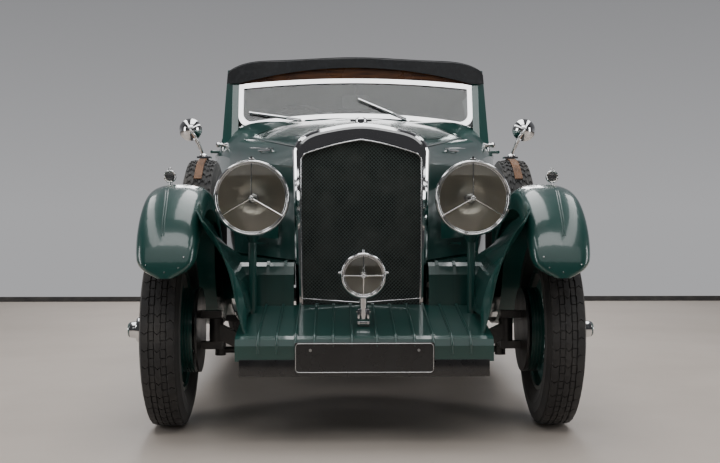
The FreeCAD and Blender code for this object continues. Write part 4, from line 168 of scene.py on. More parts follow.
world = bpy.data.worlds.new("studio_air")
scene.world = world
world.use_nodes = True
sky = world.node_tree
studio = {
    "air": sky.nodes["Background"],
    "where": add_node(sky, "TexCoord"),
    "split": add_node(sky, "SeparateXYZ"),
    "wall": add_node(sky, "ValToRGB"),
    "room": add_node(sky, "MapRange", {"From Min": -0.25, "From Max": 0.45}),
    "blend": add_node(sky, "Mix", {"A": (0.050, 0.050, 0.053, 1)}, data_type="RGBA"),
}
for stop, place, colour in ((0, 0.0, (0.44, 0.44, 0.452, 1)), (1, 0.30, (0.185, 0.187, 0.198, 1))):
    studio["wall"].color_ramp.elements[stop].position = place
    studio["wall"].color_ramp.elements[stop].color = colour
wire_up(sky, studio, """where.Generated > split.0, split.Z > wall.0, split.Y > room.Value,
    room.Result > blend.Factor, wall.0 > blend.B, blend.Result > air.Color""")
studio["air"].inputs["Strength"].default_value = 1.0


def soft_light(name, place, look_at, width, height, power):
    nothing_selected()
    bpy.ops.object.light_add(type="AREA", location=place)
    lamp = newest(name)
    lamp.data.shape = "RECTANGLE"
    lamp.data.size = width
    lamp.data.size_y = height
    lamp.data.energy = power
    aim = Vector(look_at) - Vector(place)
    lamp.rotation_euler = aim.to_track_quat("-Z", "Y").to_euler()


soft_light("light_over", (0, 0.4, 4.4), (0, 0.4, 0), 1.9, 6.0, 120)
soft_light("light_strip_left", (-2.0, -1.6, 3.3), (-0.4, -1.4, 0.6), 6.0, 0.6, 34)
soft_light("light_strip_right", (2.0, -1.6, 3.3), (0.4, -1.4, 0.6), 6.0, 0.6, 34)
soft_light("light_nose", (0, -7.6, 4.6), (0, -1.9, 0.4), 9.0, 3.0, 55)
soft_light("light_screen", (0, -5.45, 5.75), (0, -0.4, 1.4), 3.8, 1.9, 80)
soft_light("light_left", (-5.0, -3.2, 1.8), (-0.5, -1.4, 0.7), 1.2, 2.8, 55)
soft_light("light_right", (5.0, -3.2, 1.8), (0.5, -1.4, 0.7), 1.2, 2.8, 55)
soft_light("light_back", (0, 5.4, 3.4), (0, 1.5, 0.7), 4.0, 1.6, 150)

# %% [markdown]
# ## Finishes
# No real surface is one flat colour. Effects that several finishes share are node groups with named
# sockets: a tone group that drifts colour and gloss over the surface, a dust group that lies on what
# faces up, and one group each for hide, cloth and wood. They put out only colours and values; the
# shader itself stays in each material. A group is written as a table, in which each node has its
# values and its settings, and as a list of wires.


# %% A helper that builds a node group
def feed(tree, source, target):
    tree.links.new(source, target)


def new_group(name, takes, gives, table, lines):
    group = bpy.data.node_groups.new(name, "ShaderNodeTree")
    for socket, kind, value in takes:
        made = group.interface.new_socket(name=socket, in_out="INPUT", socket_type="NodeSocket" + kind)
        if value is not None:
            made.default_value = value
    for socket, kind in gives:
        group.interface.new_socket(name=socket, in_out="OUTPUT", socket_type="NodeSocket" + kind)
    named = {"in": group.nodes.new("NodeGroupInput"), "out": group.nodes.new("NodeGroupOutput")}
    for label, (kind, values, settings) in table.items():
        named[label] = add_node(group, kind, values, **settings)
    wire_up(group, named, lines)
    return group


PLACE = ("Place", "Vector", None)

# %% The tone group: colour and gloss that drift, and a fine grain
MIDDLE = {"From Min": 0.3, "From Max": 0.7}
tone = new_group(
    "tone",
    [
        PLACE, ("Scale", "Float", 3.0), ("Grain", "Float", 200.0), ("Light", "Color", (0.5, 0.5, 0.5, 1)),
        ("Dark", "Color", (0.4, 0.4, 0.4, 1)), ("Gloss", "Float", 0.2), ("Matt", "Float", 0.3),
    ],
    [("Colour", "Color"), ("Roughness", "Float"), ("Height", "Float")],
    {
        "broad": ("TexNoise", {"Detail": 4}, {}),
        "fine": ("TexNoise", {"Detail": 2}, {}),
        "steps": ("MapRange", MIDDLE, {}),
        "mix": ("Mix", {}, {"data_type": "RGBA"}),
        "spread": ("MapRange", MIDDLE, {}),
    },
    """in.Place > broad.Vector, in.Place > fine.Vector, in.Scale > broad.Scale, in.Grain > fine.Scale,
    broad.Fac > steps.Value, steps.Result > mix.Factor, in.Light > mix.A, in.Dark > mix.B,
    broad.Fac > spread.Value, in.Gloss > spread.To Min, in.Matt > spread.To Max,
    mix.Result > out.Colour, spread.Result > out.Roughness, fine.Fac > out.Height""",
)

# %% The dust group: a film that is thickest on what faces up
dust = new_group(
    "dust",
    [
        PLACE, ("Amount", "Float", 0.1), ("Colour", "Color", (0.1, 0.1, 0.1, 1)), ("Roughness", "Float", 0.3),
        ("Film", "Color", (0.32, 0.29, 0.25, 1)),
    ],
    [("Colour", "Color"), ("Roughness", "Float")],
    {
        "facing": ("NewGeometry", {}, {}),
        "parts": ("SeparateXYZ", {}, {}),
        "upward": ("MapRange", {"From Min": -0.2, "To Min": 0.25}, {}),
        "cloud": ("TexNoise", {"Scale": 9, "Detail": 7}, {}),
        "patch": ("MapRange", {"From Min": 0.42, "From Max": 0.72}, {}),
        "both": ("Math", {}, {"operation": "MULTIPLY"}),
        "share": ("Math", {}, {"operation": "MULTIPLY"}),
        "film": ("Mix", {}, {"data_type": "RGBA"}),
        "dull": ("Mix", {"B": 0.75}, {}),
    },
    """facing.Normal > parts.0, parts.Z > upward.Value, in.Place > cloud.Vector, cloud.Fac > patch.Value,
    upward.Result > both.0, patch.Result > both.1, both.0 > share.0, in.Amount > share.1,
    share.0 > film.Factor, in.Colour > film.A, in.Film > film.B, share.0 > dull.Factor,
    in.Roughness > dull.A, film.Result > out.Colour, dull.Result > out.Roughness""",
)

# %% The hide group: pebbled grain with fine creases
hide = new_group(
    "hide",
    [PLACE, ("Scale", "Float", 320.0)],
    [("Height", "Float"), ("Crease", "Float")],
    {
        "pebble": ("TexVoronoi", {}, {"feature": "DISTANCE_TO_EDGE"}),
        "worn": ("TexNoise", {"Scale": 26, "Detail": 6}, {}),
        "grain": ("MapRange", {"From Max": 0.18}, {}),
        "summed": ("Math", {1: 0.5}, {"operation": "MULTIPLY_ADD"}),
        "crease": ("MapRange", {"From Min": 0.52, "From Max": 0.68}, {}),
    },
    """in.Place > pebble.Vector, in.Scale > pebble.Scale, in.Place > worn.Vector,
    pebble.Distance > grain.Value, worn.Fac > summed.0, grain.Result > summed.2,
    worn.Fac > crease.Value, summed.0 > out.Height, crease.Result > out.Crease""",
)

# %% The cloth group: threads that cross over and under
THREAD = {"Distortion": 0.6, "Detail": 1}
cloth = new_group(
    "cloth",
    [PLACE, ("Threads", "Float", 700.0)],
    [("Height", "Float"), ("Slub", "Float")],
    {
        "warp": ("TexWave", THREAD, {"bands_direction": "X"}),
        "weft": ("TexWave", THREAD, {"bands_direction": "Y"}),
        "rise": ("TexWave", THREAD, {"bands_direction": "Z"}),
        "cross": ("Math", {}, {"operation": "MULTIPLY"}),
        "three": ("Math", {}, {"operation": "ADD"}),
        "slub": ("TexNoise", {"Scale": 45, "Detail": 5}, {}),
    },
    """in.Place > warp.Vector, in.Threads > warp.Scale, in.Place > weft.Vector, in.Threads > weft.Scale,
    in.Place > rise.Vector, in.Threads > rise.Scale, warp.Fac > cross.0, weft.Fac > cross.1,
    cross.0 > three.0, rise.Fac > three.1, in.Place > slub.Vector, three.0 > out.Height,
    slub.Fac > out.Slub""",
)

# %% The figure group: the long streaks of wood
figure = new_group(
    "figure",
    [PLACE, ("Stretch", "Vector", (1, 12, 12)), ("Scale", "Float", 6.0)],
    [("Streak", "Float")],
    {
        "long_way": ("VectorMath", {}, {"operation": "MULTIPLY"}),
        "streak": ("TexNoise", {"Detail": 5, "Distortion": 0.4}, {}),
    },
    """in.Place > long_way.0, in.Stretch > long_way.1, long_way.0 > streak.Vector, in.Scale > streak.Scale,
    streak.Fac > out.Streak""",
)
print("groups", [g.name for g in bpy.data.node_groups])

# %% [markdown]
# Each finish starts from the same few lines: a shader, the piece's own coordinates in metres, and the
# tone group. The values that are the same all over, such as a coat of lacquer, are set on the shader.
# Relief from a shared group, or a second colour over the first, can then be laid on.


# %% A helper that starts a finish
def place_in(tree):
    """The piece's own coordinates in metres. Each finish has one node for them."""
    found = [node for node in tree.nodes if node.type == "TEX_COORD"]
    return (found[0] if found else add_node(tree, "TexCoord")).outputs["Object"]


def shared(material, group, values):
    """Puts a shared group into a finish and gives it the piece's own coordinates."""
    tree = material.node_tree
    used = add_node(tree, "Group", values, node_tree=group)
    feed(tree, place_in(tree), used.inputs["Place"])
    return used


def relief(material, height, distance, strength=1.0):
    """Feeds a height into the finish's normal."""
    tree = material.node_tree
    bump = add_node(tree, "Bump", {"Strength": strength, "Distance": distance})
    feed(tree, height, bump.inputs["Height"])
    feed(tree, bump.outputs["Normal"], tree.nodes["Principled BSDF"].inputs["Normal"])


def mapped(material, value, low, high, top=1.0):
    """A value stretched so that low gives 0 and high gives the top."""
    tree = material.node_tree
    steps = add_node(tree, "MapRange", {"From Min": low, "From Max": high, "To Max": top})
    feed(tree, value, steps.inputs["Value"])
    return steps.outputs["Result"]


def tinted(material, amount, colour):
    """Lays a second colour over the finish's own, as strongly as a value says."""
    tree = material.node_tree
    target = tree.nodes["Principled BSDF"].inputs["Base Color"]
    layer = add_node(tree, "Mix", data_type="RGBA")
    feed(tree, amount, layer.inputs["Factor"])
    feed(tree, target.links[0].from_socket, layer.inputs["A"])
    layer.inputs["B"].default_value = (*colour, 1)
    feed(tree, layer.outputs["Result"], target)


def new_finish(name, light, dark, gloss, matt, scale=3.0, grain=200.0, bump=0.0, dusty=0.0, **constant):
    material = bpy.data.materials.new(name)
    material.use_nodes = True
    tree = material.node_tree
    shader = tree.nodes["Principled BSDF"]
    drift = shared(material, tone, {
        "Scale": scale, "Grain": grain, "Light": (*light, 1), "Dark": (*dark, 1), "Gloss": gloss,
        "Matt": matt,
    })
    last = drift
    if dusty:
        last = shared(material, dust, {"Amount": dusty})
        feed(tree, drift.outputs["Colour"], last.inputs["Colour"])
        feed(tree, drift.outputs["Roughness"], last.inputs["Roughness"])
    feed(tree, last.outputs["Colour"], shader.inputs["Base Color"])
    feed(tree, last.outputs["Roughness"], shader.inputs["Roughness"])
    if bump:
        relief(material, drift.outputs["Height"], bump)
    for socket, value in constant.items():
        shader.inputs[socket.replace("_", " ")].default_value = value
    return material

# %% [markdown]
# ## Paint, plating and the other finishes
# The coachwork is a deep dark green under lacquer: the colour sits in the base, and a clear coat on
# top gives the sharp reflection. Plating is plain metal with a very low roughness. Rubber, iron, hide
# and cloth each get the relief that the real thing shows at arm's length.

# %% Paint and plating
green = new_finish(
    "coach_green", (0.0075, 0.064, 0.054), (0.0056, 0.050, 0.042), 0.26, 0.34, scale=1.4, grain=900,
    bump=0.00002, dusty=0.03, Coat_Weight=1.0, Coat_Roughness=0.085, Specular_IOR_Level=0.5,
)
plating = new_finish(
    "bright_plating", (0.80, 0.80, 0.80), (0.72, 0.725, 0.735), 0.05, 0.10, scale=9, grain=500,
    bump=0.00001, Metallic=1.0,
)
dull_plating = new_finish(
    "brushed_plating", (0.52, 0.52, 0.52), (0.44, 0.445, 0.45), 0.24, 0.36, scale=20, grain=700,
    bump=0.00003, Metallic=1.0,
)
enamel = new_finish(
    "black_enamel", (0.012, 0.012, 0.013), (0.020, 0.020, 0.021), 0.28, 0.48, scale=8, grain=260,
    bump=0.0001, dusty=0.35, Coat_Weight=0.3, Coat_Roughness=0.2,
)
plate_black = new_finish(
    "plate_enamel", (0.010, 0.010, 0.011), (0.016, 0.016, 0.017), 0.22, 0.34, scale=14, grain=420,
    bump=0.00003, Coat_Weight=0.5, Coat_Roughness=0.12,
)
lattice_black = new_finish(
    "lattice_enamel", (0.075, 0.098, 0.090), (0.055, 0.074, 0.068), 0.30, 0.42, scale=30, grain=600,
    bump=0.00006, Coat_Weight=0.3, Coat_Roughness=0.2,
)
wing_lining = new_finish(
    "wing_lining", (0.012, 0.012, 0.012), (0.028, 0.027, 0.026), 0.80, 0.95, scale=12, grain=220,
    bump=0.0006, dusty=0.5,
)

# %% Rubber, iron and pipes
rubber = new_finish(
    "tyre_rubber", (0.020, 0.020, 0.021), (0.032, 0.031, 0.031), 0.62, 0.82, scale=16, grain=420,
    bump=0.00012, dusty=0.22, Sheen_Weight=0.15, Sheen_Roughness=0.4,
)
cast_iron = new_finish(
    "cast_iron", (0.085, 0.086, 0.088), (0.045, 0.043, 0.042), 0.50, 0.72, scale=18, grain=330,
    bump=0.0005, dusty=0.4, Metallic=0.6,
)
pipe_steel = new_finish(
    "pipe_steel", (0.26, 0.24, 0.22), (0.14, 0.10, 0.075), 0.38, 0.62, scale=11, grain=300,
    bump=0.0002, dusty=0.3, Metallic=0.85,
)
spring_steel = new_finish(
    "spring_steel", (0.030, 0.030, 0.031), (0.055, 0.050, 0.046), 0.40, 0.60, scale=25, grain=420,
    bump=0.0002, dusty=0.45, Metallic=0.5,
)
floor_paint = new_finish(
    "studio_floor", (0.66, 0.585, 0.52), (0.57, 0.50, 0.44), 0.40, 0.52, scale=0.9, grain=40,
    bump=0.0002,
)
floor.data.materials.append(floor_paint)

# %% [markdown]
# Hide and cloth read a shared group for their relief, and a crease mask that darkens the hide where
# it has cracked. The strap is the same hide, paler and drier.

# %% Hide and cloth
def hide_finish(name, light, dark, gloss, matt, grain, depth):
    material = new_finish(name, light, dark, gloss, matt, scale=6, dusty=0.08)
    tree = material.node_tree
    used = shared(material, hide, {"Scale": grain})
    relief(material, used.outputs["Height"], depth)
    weak = add_node(tree, "Math", {1: 0.55}, operation="MULTIPLY")
    feed(tree, used.outputs["Crease"], weak.inputs[0])
    tinted(material, weak.outputs[0], [c * 0.35 for c in dark])
    return material


seat_hide = hide_finish("seat_hide", (0.23, 0.105, 0.045), (0.17, 0.072, 0.030), 0.34, 0.50, 260, 0.0007)
strap_hide = hide_finish("strap_hide", (0.23, 0.110, 0.050), (0.16, 0.072, 0.032), 0.52, 0.70, 420, 0.0004)
trim_hide = hide_finish("trim_hide", (0.115, 0.050, 0.024), (0.080, 0.034, 0.017), 0.42, 0.58, 300, 0.0004)
hood_cloth = new_finish(
    "hood_duck", (0.019, 0.020, 0.023), (0.015, 0.016, 0.018), 0.82, 0.94, scale=2.4, dusty=0.05,
    Sheen_Weight=0.10, Sheen_Roughness=0.45,
)
duck = shared(hood_cloth, cloth, {"Threads": 620})
relief(hood_cloth, duck.outputs["Height"], 0.0004)
tinted(hood_cloth, mapped(hood_cloth, duck.outputs["Slub"], 0.48, 0.74, 0.5), (0.0399, 0.042, 0.0483))

# %% [markdown]
# Varnished wood shows long streaks of grain under a coat, and glass is a thin clear sheet. The lamp
# glass has fine upright flutes that spread the beam, so its normal follows a wave across the lens.

# %% Wood and glass
wood = new_finish(
    "varnished_wood", (0.145, 0.058, 0.022), (0.085, 0.032, 0.012), 0.22, 0.34, scale=5,
    Coat_Weight=0.9, Coat_Roughness=0.05,
)
streaks = shared(wood, figure, {"Stretch": (1.0, 14, 14), "Scale": 9})
tinted(wood, mapped(wood, streaks.outputs["Streak"], 0.40, 0.62), (0.045, 0.016, 0.007))


def glass_finish(name, tint, gloss, matt, fluted=0.0):
    material = new_finish(
        name, tint, [c * 0.94 for c in tint], gloss, matt, scale=5, Transmission_Weight=1.0, IOR=1.45,
    )
    if fluted:
        tree = material.node_tree
        flute = add_node(tree, "TexWave", {"Scale": fluted}, bands_direction="X", wave_profile="SIN")
        feed(tree, place_in(tree), flute.inputs["Vector"])
        relief(material, flute.outputs["Fac"], 0.0006, 0.3)
    return material


window_glass = glass_finish("clear_pane", (0.90, 0.94, 0.93), 0.0, 0.02)
lamp_glass = glass_finish("fluted_lens", (0.95, 0.96, 0.94), 0.02, 0.06, fluted=26)
lamp_clear = glass_finish("clear_lens", (0.97, 0.97, 0.95), 0.0, 0.012)
red_glass = new_finish(
    "ruby_glass", (0.42, 0.008, 0.006), (0.30, 0.005, 0.004), 0.08, 0.14, scale=30, Coat_Weight=1.0,
    Coat_Roughness=0.04,
)
mirror_face = new_finish("mirror_face", (0.86, 0.87, 0.88), (0.82, 0.83, 0.84), 0.02, 0.04, Metallic=1.0)
reflector = new_finish(
    "reflector", (0.66, 0.63, 0.56), (0.58, 0.55, 0.49), 0.30, 0.38, scale=5, Metallic=1.0,
)
print("finishes", len(bpy.data.materials))

# %% [markdown]
# ## A finish for every solid
# The frame's own solids keep their shapes. Each gets its finish here.

# %% Finishes of the solids
solid_finish = {
    "coach_green": [
        "body_tub", "bonnet_sides", "bonnet_top_left", "bonnet_top_right", "boot_lid", "door_left",
        "door_right", "front_apron", "front_wings", "rear_wings", "scuttle", "windscreen_pillars",
        "lamp_posts", "spare_wheels", "wheel_front_left", "wheel_front_right", "wheel_rear_left",
        "wheel_rear_right",
    ],
    "bright_plating": [
        "radiator_shell", "radiator_cap", "lamp_bowls", "windscreen_frame", "small_lamps", "wipers",
        "bonnet_hinge", "spare_mirrors",
    ],
    "black_enamel": [
        "chassis_frame", "front_axle", "knuckle_left", "knuckle_right", "track_rod", "rear_axle",
        "seat_stands", "steering_column", "fuel_tank", "interior_mirror",
    ],
    "spring_steel": ["leaf_springs"],
    "cast_iron": ["engine_block"],
    "pipe_steel": ["exhaust"],
    "lattice_enamel": ["radiator_mesh"],
    "wing_lining": ["radiator_core"],
    "plate_enamel": ["number_plates", "steering_wheel"],
    "tyre_rubber": [
        "tyre_front_left", "tyre_front_right", "tyre_rear_left", "tyre_rear_right", "spare_tyres",
        "running_boards",
    ],
    "clear_pane": ["windscreen_glass", "door_glass_left", "door_glass_right", "rear_window"],
    "fluted_lens": ["lamp_lenses"],
    "strap_hide": ["spare_straps"],
    "seat_hide": ["seat_cushions", "seat_backs"],
    "hood_duck": ["hood"],
    "varnished_wood": ["dashboard", "hood_header"],
}
for finish, names in solid_finish.items():
    for name in names:
        nodes[name].data.materials.clear()
        nodes[name].data.materials.append(bpy.data.materials[finish])
print("solids with a finish", sum(len(names) for names in solid_finish.values()), "of", len(nodes))

# %% [markdown]
# ## Helpers for turned and plain pieces
# Most of a car's small parts were turned on a lathe or cut from bar, so two helpers make them. The
# first takes a ring of points as a half section, shapes a circle into it and spins it round an axis.
# The second cuts a bar between two places. Each piece then gets its finish, slot and body in one line.

# %% Turned pieces, bars and blocks
AXES = {"X": Vector((1, 0, 0)), "Y": Vector((0, 1, 0)), "Z": Vector((0, 0, 1))}
UP_FROM = {"X": AXES["Z"], "Y": AXES["Z"], "Z": AXES["X"]}


def turned(name, section, centre, axis="Y", steps=64):
    """A closed section of (along, radius) points spun round an axis through the centre."""
    nothing_selected()
    bpy.ops.mesh.primitive_circle_add(vertices=len(section), radius=1, location=(0, 0, 0))
    piece = newest(name)
    along, out = AXES[axis], UP_FROM[axis]
    for vertex, (run, radius) in zip(piece.data.vertices, section):
        vertex.co = Vector(centre) + along * run + out * radius
    with editing(piece):
        bpy.ops.mesh.spin(steps=steps, angle=math.tau, center=centre, axis=along)
        bpy.ops.mesh.select_all(action="SELECT")
        bpy.ops.mesh.remove_doubles(threshold=0.00002)
        bpy.ops.mesh.normals_make_consistent(inside=False)
    return piece


def bar(name, start, end, radius, sides=12, end_radius=None):
    """A round bar, or a cone, between two places."""
    start, end = Vector(start), Vector(end)
    nothing_selected()
    bpy.ops.mesh.primitive_cone_add(
        vertices=sides, radius1=radius, radius2=radius if end_radius is None else end_radius,
        depth=(end - start).length, location=(start + end) / 2,
        rotation=(end - start).to_track_quat("Z", "Y").to_euler(),
    )
    piece = newest(name)
    apply_place(piece)
    return piece


def block(name, low, high, bevel=0.002):
    """A block between two corners, with its edges rounded in edit mode."""
    nothing_selected()
    low, high = Vector(low), Vector(high)
    bpy.ops.mesh.primitive_cube_add(size=1, location=(low + high) / 2)
    piece = newest(name)
    piece.scale = high - low
    apply_place(piece)
    if bevel:
        with editing(piece):
            bpy.ops.mesh.bevel(offset=bevel, segments=2, affect="EDGES")
    return piece


def joined(name, pieces):
    """Several pieces of one finish as one piece."""
    only(pieces[0])
    for piece in pieces:
        piece.select_set(True)
    if len(pieces) > 1:
        bpy.ops.object.join()
    return newest(name)


def finished(piece, finish, body="chassis", angle=35):
    """Gives a piece its finish, its smooth shading and the body that it rides on."""
    only(piece)
    bpy.ops.object.shade_smooth_by_angle(angle=math.radians(angle))
    piece.data.materials.clear()
    piece.data.materials.append(finish)
    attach(piece, body)
    return piece


def plated(name, pieces, body="chassis", angle=35):
    """Pieces joined as one, in bright plating."""
    return finished(joined(name, pieces), plating, body, angle)


def copied(piece, name, mirror=False, move=(0, 0, 0)):
    """A copy with its own mesh, moved or mirrored across the car, its faces turned out again."""
    nothing_selected()
    twin = piece.copy()
    twin.data = piece.data.copy()
    twin.name = name
    scene.collection.objects.link(twin)
    if mirror:
        twin.scale = (-1, 1, 1)
    twin.location = move
    apply_place(twin)
    if mirror:
        with editing(twin):
            bpy.ops.mesh.normals_make_consistent(inside=False)
    return twin


def both_sides(name, pieces):
    """Pieces of the car's right side joined as one, and their mirror image on the left."""
    right = joined(name + "_right", pieces)
    return [right, copied(right, name + "_left", mirror=True)]


# %% [markdown]
# ## Tyres
# A cross-ply tyre of this time has five bands of blocks round its tread. Modelling the grooves as
# real depth pays off, because the tyre faces the camera. A half section is spun in 72 steps, one for
# each pitch of the tread. Rings of points are then turned a little round the axle, so that the side
# grooves run in waves. The faces between the grooves are inset and raised, first on the even
# pitches and then on the odd ones, so that every block stands alone.

# %% One tyre
PITCHES, SPARE_PITCHES = 72, 96
GROOVE = 0.0065
TREAD_HALF = 0.057
TREAD_BANDS = ((-0.057, -0.0325), (-0.0295, -0.0125), (-0.0105, 0.0105), (0.0125, 0.0295), (0.0325, 0.057))
# The spares carry a finer pattern: eight narrow rings whose notches zigzag from ring to ring.
SPARE_BANDS = tuple((-0.057 + 0.01457 * n, -0.045 + 0.01457 * n) for n in range(8))
TYRE_SIDE = [
    (0.047, 0.2292), (0.0585, 0.246), (0.0685, 0.268), (0.0722, 0.287), (0.0735, 0.2895), (0.0735, 0.292),
    (0.0728, 0.2945), (0.0732, 0.309), (0.0722, 0.326), (0.0706, 0.3275), (0.0700, 0.331), (0.0690, 0.3325),
    (0.0655, 0.3485), (0.0617, 0.3590),
]
SMALLEST_BLOCK = 0.00008


def tread_radius(x):
    return TYRE_RADIUS - GROOVE - 0.0062 * (abs(x) / TREAD_HALF) ** 2


def on_tread(place):
    return place.yz.length > tread_radius(place.x) - 0.002


def make_tyre(name, wave, pitches, bands):
    across = sorted({x for low, high in bands for x in (low, (low + high) / 2, high)})
    crown = [(x, tread_radius(x)) for x in reversed(across)]
    section = TYRE_SIDE + crown + [(-x, radius) for x, radius in reversed(TYRE_SIDE)]
    piece = turned(name, section, (0, 0, 0), "X", pitches)
    step = math.tau / pitches
    for vertex in piece.data.vertices:
        for (low, high), share in zip(bands, wave):
            if on_tread(vertex.co) and abs(vertex.co.x - (low + high) / 2) < 0.0002:
                vertex.co = Matrix.Rotation(step * share, 4, "X") @ vertex.co
    with editing(piece):
        for odd in (0, 1):
            mesh = bmesh.from_edit_mesh(piece.data)
            for face in mesh.faces:
                centre = face.calc_center_median()
                pitch = int(math.atan2(centre.y, centre.z) % math.tau / step)
                raised = on_tread(centre) and any(low < centre.x < high for low, high in bands)
                face.select = raised and face.calc_area() > SMALLEST_BLOCK and pitch % 2 == odd
            bmesh.update_edit_mesh(piece.data)
            bpy.ops.mesh.inset(thickness=0.0015, depth=GROOVE, use_even_offset=True)
    return piece


road_tyre = make_tyre("road_tyre", (0.30, 0.0, 0.34, 0.0, -0.30), PITCHES, TREAD_BANDS)
print("tyre faces", len(road_tyre.data.polygons))

# %% Tyres on the wheels and in the wing wells
stations = {
    "front_left": (HALF_TRACK, at(0)), "front_right": (-HALF_TRACK, at(0)),
    "rear_left": (HALF_TRACK, at(WHEELBASE)), "rear_right": (-HALF_TRACK, at(WHEELBASE)),
}
for corner, (x, y) in stations.items():
    tyre = copied(road_tyre, "tread_" + corner, move=(x, y, TYRE_RADIUS))
    finished(tyre, rubber, "wheel_" + corner, 28)
    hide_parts("tyre_" + corner)
spare_tyre = make_tyre("spare_tread", (0.5, -0.5) * 4, SPARE_PITCHES, SPARE_BANDS)
spare_y, spare_z = at(0.780), 0.703
spare_pair = [
    copied(spare_tyre, "spare_tread_0", move=(0.708, spare_y, spare_z)),
    copied(spare_tyre, "spare_tread_1", move=(-0.708, spare_y, spare_z)),
]
spares = finished(joined("spare_treads", spare_pair), rubber, "chassis", 28)
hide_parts("spare_tyres")
for piece in (road_tyre, spare_tyre):
    bpy.data.objects.remove(piece)

# %% [markdown]
# ## Stone guard and radiator bead
# The guard in front of the radiator is a lattice of flat wires, crossing at right angles and set as
# diamonds, about fifteen millimetres from corner to corner. One wire is arrayed across the opening,
# leaned the other way for the second layer, and the whole cloth is then trimmed along the edges of
# the opening, as it would be cut on a bench. It stands for the plain sheet in the solids.

# %% The lattice
GUARD_Y = -1.6785
OPENING_HALF, OPENING_LOW, OPENING_SIDE, OPENING_PEAK = 0.238, 0.448, 1.068, 1.1215
OPENING_RISE = OPENING_PEAK - OPENING_SIDE
DIAMOND = 0.0146
WIRE_REACH, WIRE_HALF, WIRE_THICK = 0.86, 0.0012, 0.0018


def wire_layer(name, lean, y):
    near, far = y - WIRE_THICK / 2, y + WIRE_THICK / 2
    strand = block(name, (-WIRE_HALF, near, -WIRE_REACH), (WIRE_HALF, far, WIRE_REACH), bevel=0)
    count = int(2 * (OPENING_HALF + 0.38) / DIAMOND)
    pitch = DIAMOND * math.cos(math.radians(45))
    with editing(strand):
        bpy.ops.transform.translate(value=(-pitch * count / 2, 0, 0))
    applied(strand, "rows", "ARRAY", count=count, use_relative_offset=False, use_constant_offset=True,
            constant_offset_displace=(pitch, 0, 0))
    strand.rotation_euler = (0, math.radians(lean), 0)
    strand.location = (0, 0, (OPENING_LOW + OPENING_PEAK) / 2)
    apply_place(strand)
    return strand


layers = [wire_layer("wires_a", 45, GUARD_Y), wire_layer("wires_b", -45, GUARD_Y + WIRE_THICK)]
guard = joined("stone_guard", layers)
cuts = [
    ((OPENING_HALF, 0, 0), (1, 0, 0)),
    ((-OPENING_HALF, 0, 0), (-1, 0, 0)),
    ((0, 0, OPENING_LOW), (0, 0, -1)),
    ((0, 0, OPENING_PEAK), (OPENING_RISE, 0, OPENING_HALF)),
    ((0, 0, OPENING_PEAK), (-OPENING_RISE, 0, OPENING_HALF)),
]
with editing(guard):
    for place, outward in cuts:
        bpy.ops.mesh.select_all(action="SELECT")
        bpy.ops.mesh.bisect(plane_co=place, plane_no=outward, clear_outer=True, use_fill=False)
finished(guard, lattice_black)
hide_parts("radiator_mesh")
print("guard faces", len(guard.data.polygons))

# %% [markdown]
# A half-round plated bead lines the opening. It is a path laid along the opening's outline and given
# a round section, then made a mesh. The same helper draws every other bead and piping on the car.


# %% Beads, arcs and rounded boxes
def bead(name, points, radius, closed=False, sides=3):
    """A round bead laid along a path."""
    nothing_selected()
    bpy.ops.curve.primitive_nurbs_path_add(location=(0, 0, 0))
    line = newest(name).data
    line.splines.clear()
    path = line.splines.new("POLY")
    path.points.add(len(points) - 1)
    for point, place in zip(path.points, points):
        point.co = (*place, 1)
    path.use_cyclic_u = closed
    line.bevel_depth = radius
    line.bevel_resolution = sides
    line.use_fill_caps = not closed
    bpy.ops.object.convert(target="MESH")
    apply_place(bpy.context.object)
    return bpy.context.object


def arc_points(centre, radius, start, end, count, y):
    """Places along an arc in an upright plane across the car."""
    turns = [math.radians(start + (end - start) * n / count) for n in range(count + 1)]
    return [(centre[0] + radius * math.cos(t), y, centre[1] + radius * math.sin(t)) for t in turns]


def box_points(half, low, high, corner, count, y):
    """Places round a box with rounded corners in such a plane."""
    places = []
    for x, z, start in ((half - corner, high - corner, 0), (-half + corner, high - corner, 90),
                        (-half + corner, low + corner, 180), (half - corner, low + corner, 270)):
        places += arc_points((x, z), corner, start, start + 90, count, y)
    return places


# %% The bead round the opening
FACE_AT = -1.695
CORNER = 0.034
slope = math.degrees(math.atan2(OPENING_RISE, OPENING_HALF))
half_line = [(OPENING_HALF, FACE_AT, 0.492)]
corner_middle = (OPENING_HALF - CORNER, OPENING_SIDE - CORNER * 0.92)
half_line += arc_points(corner_middle, CORNER, 0, 90 - slope, 8, FACE_AT)
crest_x, _, crest_z = half_line[-1]
for share in [n / 6 for n in range(1, 6)]:
    swell = 0.006 * math.sin(math.pi * share)
    height = crest_z + (OPENING_PEAK - crest_z) * share + swell
    half_line.append((crest_x * (1 - share), FACE_AT, height))
outline = [(0, FACE_AT, 0.4755)] + half_line + [(0, FACE_AT, OPENING_PEAK)]
outline += [(-x, y, z) for x, y, z in reversed(half_line)]
plated("radiator_bead", [bead("radiator_bead", outline, 0.0028, closed=True)], angle=50)
print("bead points", len(outline))

# %% [markdown]
# ## Headlamps
# Each lamp is a silvered dish behind clear glass, with a bulb holder on its axis, a plated rim and
# three thin bars from the hub to the rim: one straight up and two reaching down. The dish is spun
# from its half section, so that it bends reflections as the real one does.


# %% Sections for dishes, rims and lenses
def dish_section(radius, depth, wall=0.0015, hole=0.012, count=14):
    """A bowl that opens towards -Y, as a closed band from its lip to its hole."""
    radii = [radius + (hole - radius) * n / count for n in range(count + 1)]
    inner = [(depth * (1 - (r / radius) ** 2), r) for r in radii]
    return inner + [(run + wall, r) for run, r in reversed(inner)]


